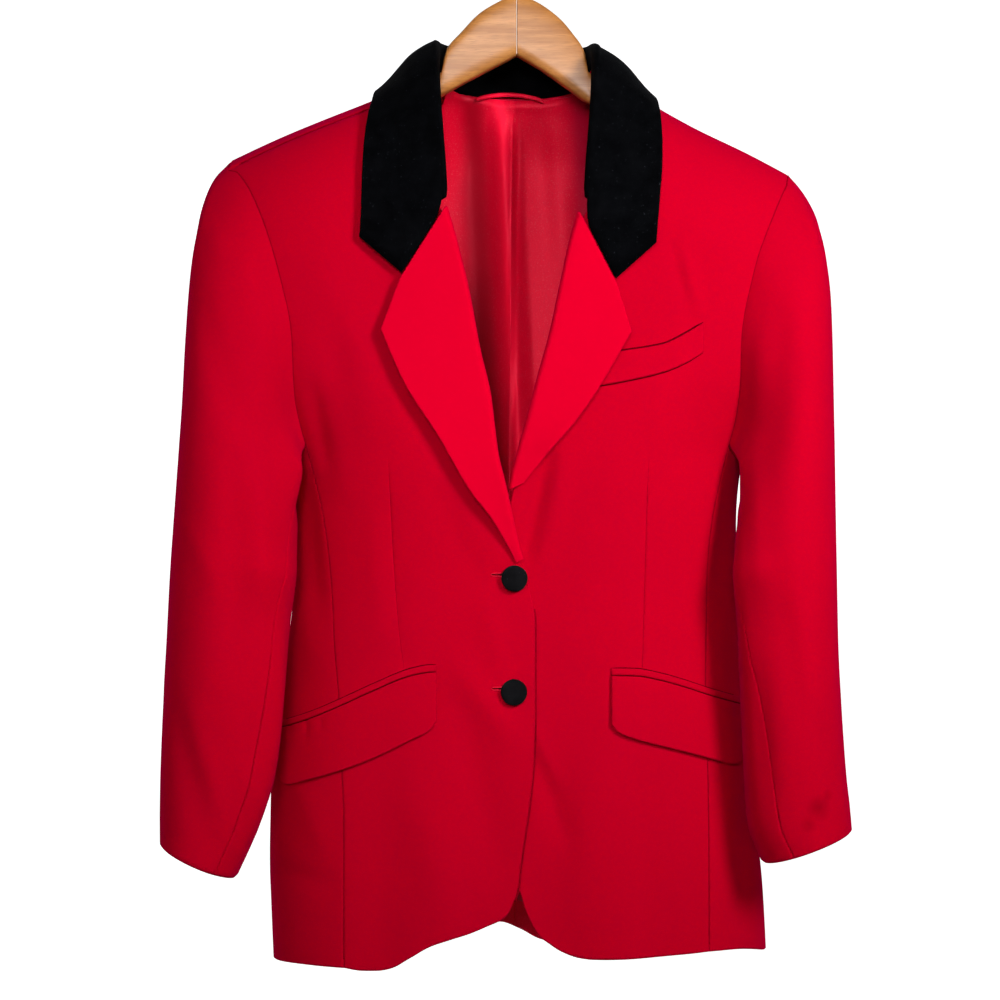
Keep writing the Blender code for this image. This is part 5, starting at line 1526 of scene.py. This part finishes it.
def buttonhole(name, inner_x, outer_x, z):
    """A worked buttonhole: close stitches round a dark slit of painted shade."""
    middle = (inner_x + outer_x) / 2
    reach = abs(outer_x - inner_x) / 2
    wide = 1.15
    stitches = 64
    path = []
    radii = []
    for k in range(stitches * 4):
        a = 2 * math.pi * k / (stitches * 4)
        x = middle + reach * squared(math.cos(a), 0.35)
        dz = wide * squared(math.sin(a), 0.6)
        p, n = front_point(-1, x, z + dz)
        path.append(p + n * 0.12)
        radii.append(0.42 + 0.16 * math.cos(stitches * a))
    tube(name, path, radii, 8, THREAD, "wool", closed=True)
    points = []
    steps = 24
    for i in range(steps + 1):
        s = i / steps
        x = middle + reach * (2 * s - 1) * 0.96
        for side in (-1, 1):
            p, n = front_point(-1, x, z + side * 0.5 * math.sin(math.pi * s) ** 0.4)
            points.append(p + n * 0.18)
    settle(add_mesh(name + "_slit", np.array(points) * MM, ladder(steps), [SLIT_SHADOW]), "wool")


# Materials.


class Graph:
    """A short way to write a material's nodes."""

    def __init__(self, name):
        self.material = bpy.data.materials.new(name)
        self.material.use_nodes = True
        self.tree = self.material.node_tree
        self.shader = self.tree.nodes["Principled BSDF"]
        self.place = self.node("ShaderNodeTexCoord").outputs["Object"]

    def node(self, kind, links=None, **values):
        made = self.tree.nodes.new(kind)
        for key, value in values.items():
            if hasattr(made, key):
                setattr(made, key, value)
            else:
                made.inputs[key.replace("_", " ")].default_value = value
        for key, source in (links or {}).items():
            self.tree.links.new(source, made.inputs[key])
        return made

    def math(self, operation, a, b=None):
        made = self.tree.nodes.new("ShaderNodeMath")
        made.operation = operation
        for socket, value in zip(made.inputs, (a, b)):
            if isinstance(value, (int, float)):
                socket.default_value = value
            elif value is not None:
                self.tree.links.new(value, socket)
        return made.outputs[0]

    def times(self, a, b):
        return self.math("MULTIPLY", a, b)

    def plus(self, a, b):
        return self.math("ADD", a, b)

    def mix(self, share, a, b):
        made = self.tree.nodes.new("ShaderNodeMix")
        made.data_type = "RGBA"
        for key, value in (("Factor", share), ("A", a), ("B", b)):
            socket = [s for s in made.inputs if s.name == key and s.enabled][0]
            if isinstance(value, (int, float)):
                socket.default_value = value
            elif isinstance(value, tuple):
                socket.default_value = (*value, 1)
            else:
                self.tree.links.new(value, socket)
        return [s for s in made.outputs if s.enabled][0]

    def noise(self, coords, scale, detail=3, rough=0.5):
        values = {"Scale": scale, "Detail": detail, "Roughness": rough}
        return self.node("ShaderNodeTexNoise", {"Vector": coords}, **values).outputs[0]

    def stretched(self, coords, scale, turn=0):
        made = self.node("ShaderNodeMapping", {"Vector": coords})
        made.inputs["Rotation"].default_value = (0, turn, 0)
        made.inputs["Scale"].default_value = scale
        return made.outputs[0]

    def ramp(self, value, low, high, to_low=0, to_high=1):
        made = self.node("ShaderNodeMapRange", {"Value": value})
        for key, number in (("From Min", low), ("From Max", high), ("To Min", to_low), ("To Max", to_high)):
            made.inputs[key].default_value = number
        return made.outputs[0]

    def over(self, tone, value, low, high, share, colour):
        """Lay a share of a colour over the tone, as the value goes from low to high."""
        return self.mix(self.times(self.ramp(value, low, high), share), tone, colour)

    def set(self, **values):
        for key, value in values.items():
            self.shader.inputs[key.replace("_", " ")].default_value = value

    def link(self, name, source):
        self.tree.links.new(source, self.shader.inputs[name])

    def bump(self, height, strength, distance):
        made = self.node("ShaderNodeBump", {"Height": height}, Strength=strength, Distance=distance)
        self.link("Normal", made.outputs[0])


def woven(graph, pitch):
    """Height of a plain weave of round yarns, from the cloth's own coordinates, and the coordinates."""
    coords = graph.node("ShaderNodeUVMap", uv_map="weave").outputs[0]
    wander = graph.noise(coords, 90, 1)
    parts = graph.node("ShaderNodeSeparateXYZ", {0: coords})
    turn = 2 * math.pi / pitch
    u = graph.plus(graph.times(parts.outputs[0], turn), graph.times(wander, 3))
    v = graph.plus(graph.times(parts.outputs[1], turn), graph.times(wander, 2.4))
    over = graph.times(graph.math("SINE", u), graph.math("SINE", v))
    warp = graph.math("ABSOLUTE", graph.math("SINE", u))
    weft = graph.math("ABSOLUTE", graph.math("SINE", v))
    return graph.plus(graph.times(over, 0.5), graph.times(graph.plus(warp, weft), 0.3)), coords


def wool(name, colour, shade, stain=None, depth=0.72):
    """Plain-woven wool with a soft nap."""
    g = Graph(name)
    height, coords = woven(g, 0.0011)
    nap = g.noise(coords, 1500, 3, 0.7)
    fluff = g.noise(g.place, 420, 3, 0.65)
    cloudy = g.noise(g.place, 9, 3, 0.55)
    dark = tuple(c * depth for c in colour)
    tone = g.mix(g.ramp(nap, 0.3, 0.7), dark, colour)
    tone = g.over(tone, fluff, 0.35, 0.7, 0.7, shade)
    tone = g.over(tone, cloudy, 0.4, 0.75, 0.28, shade)
    # Painted shade: the tone darkens in the weave's hollows between the yarns.
    tone = g.over(tone, height, -0.2, -0.6, 0.18, tuple(c * 0.4 for c in colour))
    if stain:
        for x, y, z, reach, strength in stain:
            shift = g.node("ShaderNodeMapping", {"Vector": g.place})
            shift.inputs["Location"].default_value = (-x * MM, -y * MM, -z * MM)
            length = g.node("ShaderNodeVectorMath", {0: shift.outputs[0]}, operation="LENGTH")
            ragged = g.plus(length.outputs["Value"], g.times(g.noise(g.place, 55, 3), reach * MM * 1.1))
            spot = g.ramp(ragged, reach * MM * 1.5, reach * MM * 0.7)
            tone = g.mix(g.times(spot, strength), tone, tuple(c * 0.35 for c in colour))
    g.link("Base Color", tone)
    g.link("Roughness", g.ramp(nap, 0, 1, 0.82, 0.98))
    g.set(Specular_IOR_Level=0, Sheen_Weight=0.08, Sheen_Roughness=0.45, Sheen_Tint=(0.8, 0, 0.4, 1))
    whole = g.plus(g.times(height, 0.6), g.times(nap, 0.9))
    whole = g.plus(whole, g.times(fluff, 0.6))
    g.bump(whole, 0.35, 0.0004)
    return g.material


def satin(name, colour, shade, rough=0.36, bands=()):
    """Lining: a fine lengthwise weave with a soft gloss, and paler speckles of painted sheen."""
    g = Graph(name)
    coords = g.node("ShaderNodeUVMap", uv_map="weave").outputs[0]
    threads = g.noise(g.stretched(coords, (2600, 160, 1)), 1, 3, 0.6)
    sheen_specks = g.noise(g.place, 900, 2, 0.7)
    cloudy = g.noise(g.place, 16, 3)
    tone = g.mix(g.ramp(threads, 0.3, 0.7), shade, colour)
    # Paler speckles of painted sheen.
    tone = g.over(tone, sheen_specks, 0.56, 0.72, 0.3, (0.75, 0.16, 0.18))
    tone = g.over(tone, cloudy, 0.45, 0.8, 0.3, shade)
    if bands:
        parts = g.node("ShaderNodeSeparateXYZ", {0: g.place}).outputs
        lean = g.plus(parts[0], g.times(g.plus(parts[2], 0.2), 0.05))
        lean = g.plus(lean, g.times(cloudy, 0.006))
    # The bands paint shade and highlight along the folds of the lining.
    for middle, reach, strength, pressed in bands:
        away = g.times(g.math("SUBTRACT", lean, middle * MM), 1 / (reach * MM))
        near = g.math("DIVIDE", strength, g.plus(g.math("POWER", g.math("ABSOLUTE", away), 3), 1))
        tone = g.mix(near, tone, pressed)
    g.link("Base Color", tone)
    g.link("Roughness", g.ramp(threads, 0.2, 0.8, rough - 0.06, rough + 0.12))
    g.set(Specular_IOR_Level=0.5, Specular_Tint=(1, 0.08, 0.14, 1))
    g.set(Sheen_Weight=0.06, Sheen_Roughness=0.3, Sheen_Tint=(1, 0.1, 0.2, 1))
    g.bump(g.plus(threads, g.times(sheen_specks, 0.5)), 0.22, 0.0003)
    return g.material


def velvet(name, colour, sheen, tint, scale=1):
    """A short dense pile, black face on, paler where it turns away."""
    g = Graph(name)
    pile = g.noise(g.place, 2300 * scale, 2, 0.7)
    brushed = g.noise(g.place, 70, 4, 0.6)
    pile_sheen_specks = g.noise(g.place, 560, 2, 0.5)
    tone = g.mix(g.ramp(brushed, 0.35, 0.75), colour, tuple(c * 1.9 + 0.0012 for c in colour))
    # Sparse grey speckles of painted sheen on the pile.
    tone = g.over(tone, pile_sheen_specks, 0.7, 0.78, 0.35, (0.06, 0.065, 0.08))
    g.link("Base Color", tone)
    g.link("Roughness", g.ramp(pile, 0, 1, 0.8, 1))
    g.set(Specular_IOR_Level=0.03, Sheen_Weight=sheen, Sheen_Roughness=0.32, Sheen_Tint=(*tint, 1))
    g.bump(g.plus(pile, g.times(brushed, 1.5)), 0.5, 0.0006)
    return g.material


def wood(name, slope):
    """Pale varnished wood, its grain along an arm that falls by this slope."""
    g = Graph(name)
    grain = g.noise(g.stretched(g.place, (9, 120, 150), slope), 1, 5, 0.62)
    streaks = g.noise(g.stretched(g.place, (90, 900, 1300), slope), 1, 2, 0.6)
    tone = g.mix(g.ramp(grain, 0.36, 0.62), (0.52, 0.215, 0.052), (0.36, 0.133, 0.027))
    tone = g.over(tone, streaks, 0.52, 0.66, 0.5, (0.26, 0.096, 0.02))
    g.link("Base Color", tone)
    g.link("Roughness", g.ramp(grain, 0.3, 0.7, 0.34, 0.46))
    g.set(Specular_IOR_Level=0.35, Coat_Weight=0.12, Coat_Roughness=0.22)
    g.bump(streaks, 0.12, 0.0002)
    return g.material


def plain(name, colour, rough, metal=0, scale=300, depth=0.0001):
    g = Graph(name)
    mottle = g.noise(g.place, scale, 3)
    g.link("Base Color", g.mix(g.ramp(mottle, 0.35, 0.7), colour, tuple(c * 0.8 for c in colour)))
    g.link("Roughness", g.ramp(mottle, 0.2, 0.8, max(rough - 0.06, 0.05), rough + 0.06))
    g.set(Metallic=metal, Specular_IOR_Level=0.5 if rough < 0.5 else 0)
    g.bump(mottle, 0.1, depth)
    return g.material


CUFF_STAIN = [
    # x, y, z, reach, strength
    (231, -100, -716, 12, 0.6), (222, -100, -728, 8, 0.4), (238, -98, -706, 6, 0.36),
]
WOOL = wool("wool_red", (0.54, 0, 0.0127), (0.39, 0, 0.015), CUFF_STAIN)
# A lighter copy of the red wool, painted light for the lapels.
WOOL_LAPEL_PAINTED_LIGHT = wool("wool_red_lapel_painted_light", (0.59, 0, 0.0165), (0.54, 0, 0.017), depth=0.92)
LINING = satin("lining_inside", (0.75, 0, 0.029), (0.58, 0, 0.025), 0.5)
LINING_PAINTED_LIGHT_BANDS = [
    # middle, reach, strength, colour: bands of painted shade and painted highlight along the lining's folds
    (-30, 12, 0.85, (0.2, 0, 0.005)), (-6.5, 4.5, 0.75, (1, 0.006, 0.042)),
    (61, 11, 0.75, (0.18, 0, 0.016)), (8, 3, 0.25, (0.33, 0, 0.008)),
]
SATIN_RED = satin("lining_satin", (0.8, 0.001, 0.025), (0.65, 0, 0.022), bands=LINING_PAINTED_LIGHT_BANDS)
VELVET_BLACK = velvet("velvet_black", (0.0001, 0.0002, 0.0005), 0.009, (0.5, 0.55, 0.65))
BUTTON_CLOTH = velvet("button_cloth", (0.003, 0.003, 0.0035), 0.08, (0.6, 0.6, 0.7), 0.6)
WOOD = {-1: wood("wood_right", -0.46), 1: wood("wood_left", 0.52)}
STEEL = plain("polished_steel", (0.72, 0.72, 0.73), 0.16, 1)
THREAD = plain("buttonhole_thread", (0.72, 0.012, 0.04), 0.6, 0, 2500)
# The slit's dark sheet is painted shade in the opening.
SLIT_SHADOW = plain("buttonhole_slit_shadow", (0.05, 0.002, 0.004), 0.9)
# Painted shadow in the pockets' openings and along the jets and welt.
MOUTH_SHADOW = plain("pocket_mouth_shadow", (0.12, 0, 0.0035), 0.95)
# Painted shade for the sunk seams, armholes and darts.
SEAM_SHADOW = plain("sunk_seam_shadow", (0.28, 0, 0.0095), 0.95)


# Studio.


def area_light(name, place, target, size, power, colour=(1, 1, 1), spread=180):
    light = bpy.data.lights.new(name, "AREA")
    light.spread = math.radians(spread)
    light.shape = "DISK"
    light.size = size
    light.energy = power
    light.color = colour
    thing = put(name, light)
    thing.location = place
    way = np.array(target) - np.array(place)
    flat = math.hypot(way[0], way[1])
    thing.rotation_euler = (math.atan2(flat, -way[2]), 0, math.atan2(way[1], way[0]) - math.pi / 2)


def studio():
    """A pale sweep for floor and backdrop, soft lights, and the camera level with the jacket."""
    floor_z = -2.6
    wall_y = 7
    bend = 2
    wide = 9
    line = [(-5, floor_z), (wall_y - bend, floor_z)]
    for a in spread(0, 90, 14)[1:]:
        r = math.radians(a)
        line.append((wall_y - bend + bend * math.sin(r), floor_z + bend - bend * math.cos(r)))
    line.append((wall_y, 7))
    points = []
    for y, z in line:
        points += [(-wide, y, z), (wide, y, z)]
    g = Graph("pale_sweep")
    g.set(Base_Color=(0.9, 0.9, 0.9, 1), Roughness=0.9, Specular_IOR_Level=0.1)
    depth = g.node("ShaderNodeSeparateXYZ", {0: g.place}).outputs[1]
    g.set(Emission_Color=(1, 1, 1, 1))
    g.link("Emission Strength", g.ramp(depth, 0.3, 0.9, 0, 0.8))
    sweep = add_mesh("pale_sweep", points, ladder(len(line) - 1), [g.material])
    world = bpy.data.worlds.new("soft_room")
    world.use_nodes = True
    world.node_tree.nodes["Background"].inputs[0].default_value = (1, 1, 1, 1)
    world.node_tree.nodes["Background"].inputs[1].default_value = 0.095
    bpy.context.scene.world = world
    area_light("key", (0.8, -1.1, 0.1), (0.1, -0.07, -0.42), 0.4, 4.3, spread=80)
    area_light("front", (-0.2, -2.3, 0.1), (0.03, 0, -0.36), 0.6, 2.45, spread=50)
    area_light("above", (0.1, -1.4, 1.05), (0, 0, -0.3), 0.8, 0.95)
    area_light("fill", (-1.9, -1.4, -0.1), (0, 0, -0.45), 1.4, 4.2, (0.85, 0.72, 1))
    lens = bpy.data.cameras.new("camera")
    lens.lens = 90
    lens.sensor_width = 36
    lens.clip_end = 50
    camera = put("camera", lens)
    camera.location = (-0.012, -2, -0.4816)
    camera.rotation_euler = (math.pi / 2, 0, 0)
    bpy.context.scene.camera = camera
    bpy.context.scene.view_settings.view_transform = "Standard"


def main():
    for hand, side in HANDS.items():
        front_panel(hand, "front_" + side)
        side_top = side_panel(hand, "side_" + side)
        back_panel(hand, "back_" + side)
        lapel(hand, "lapel_" + side)
        sleeve(hand, side_top)
    lining_panel()
    collar()
    pockets()
    mouths()
    painted_seam_shadows()
    for name, (x, z) in BUTTONS.items():
        button(name, x, z)
    buttonhole("buttonhole_upper", -18.9, -4, -539.4)
    buttonhole("buttonhole_lower", -18.2, -4, -627.6)
    for hand, side in HANDS.items():
        hanger_arm(hand, "hanger_arm_" + side)
    hook()
    hanger_loop()
    studio()


main()
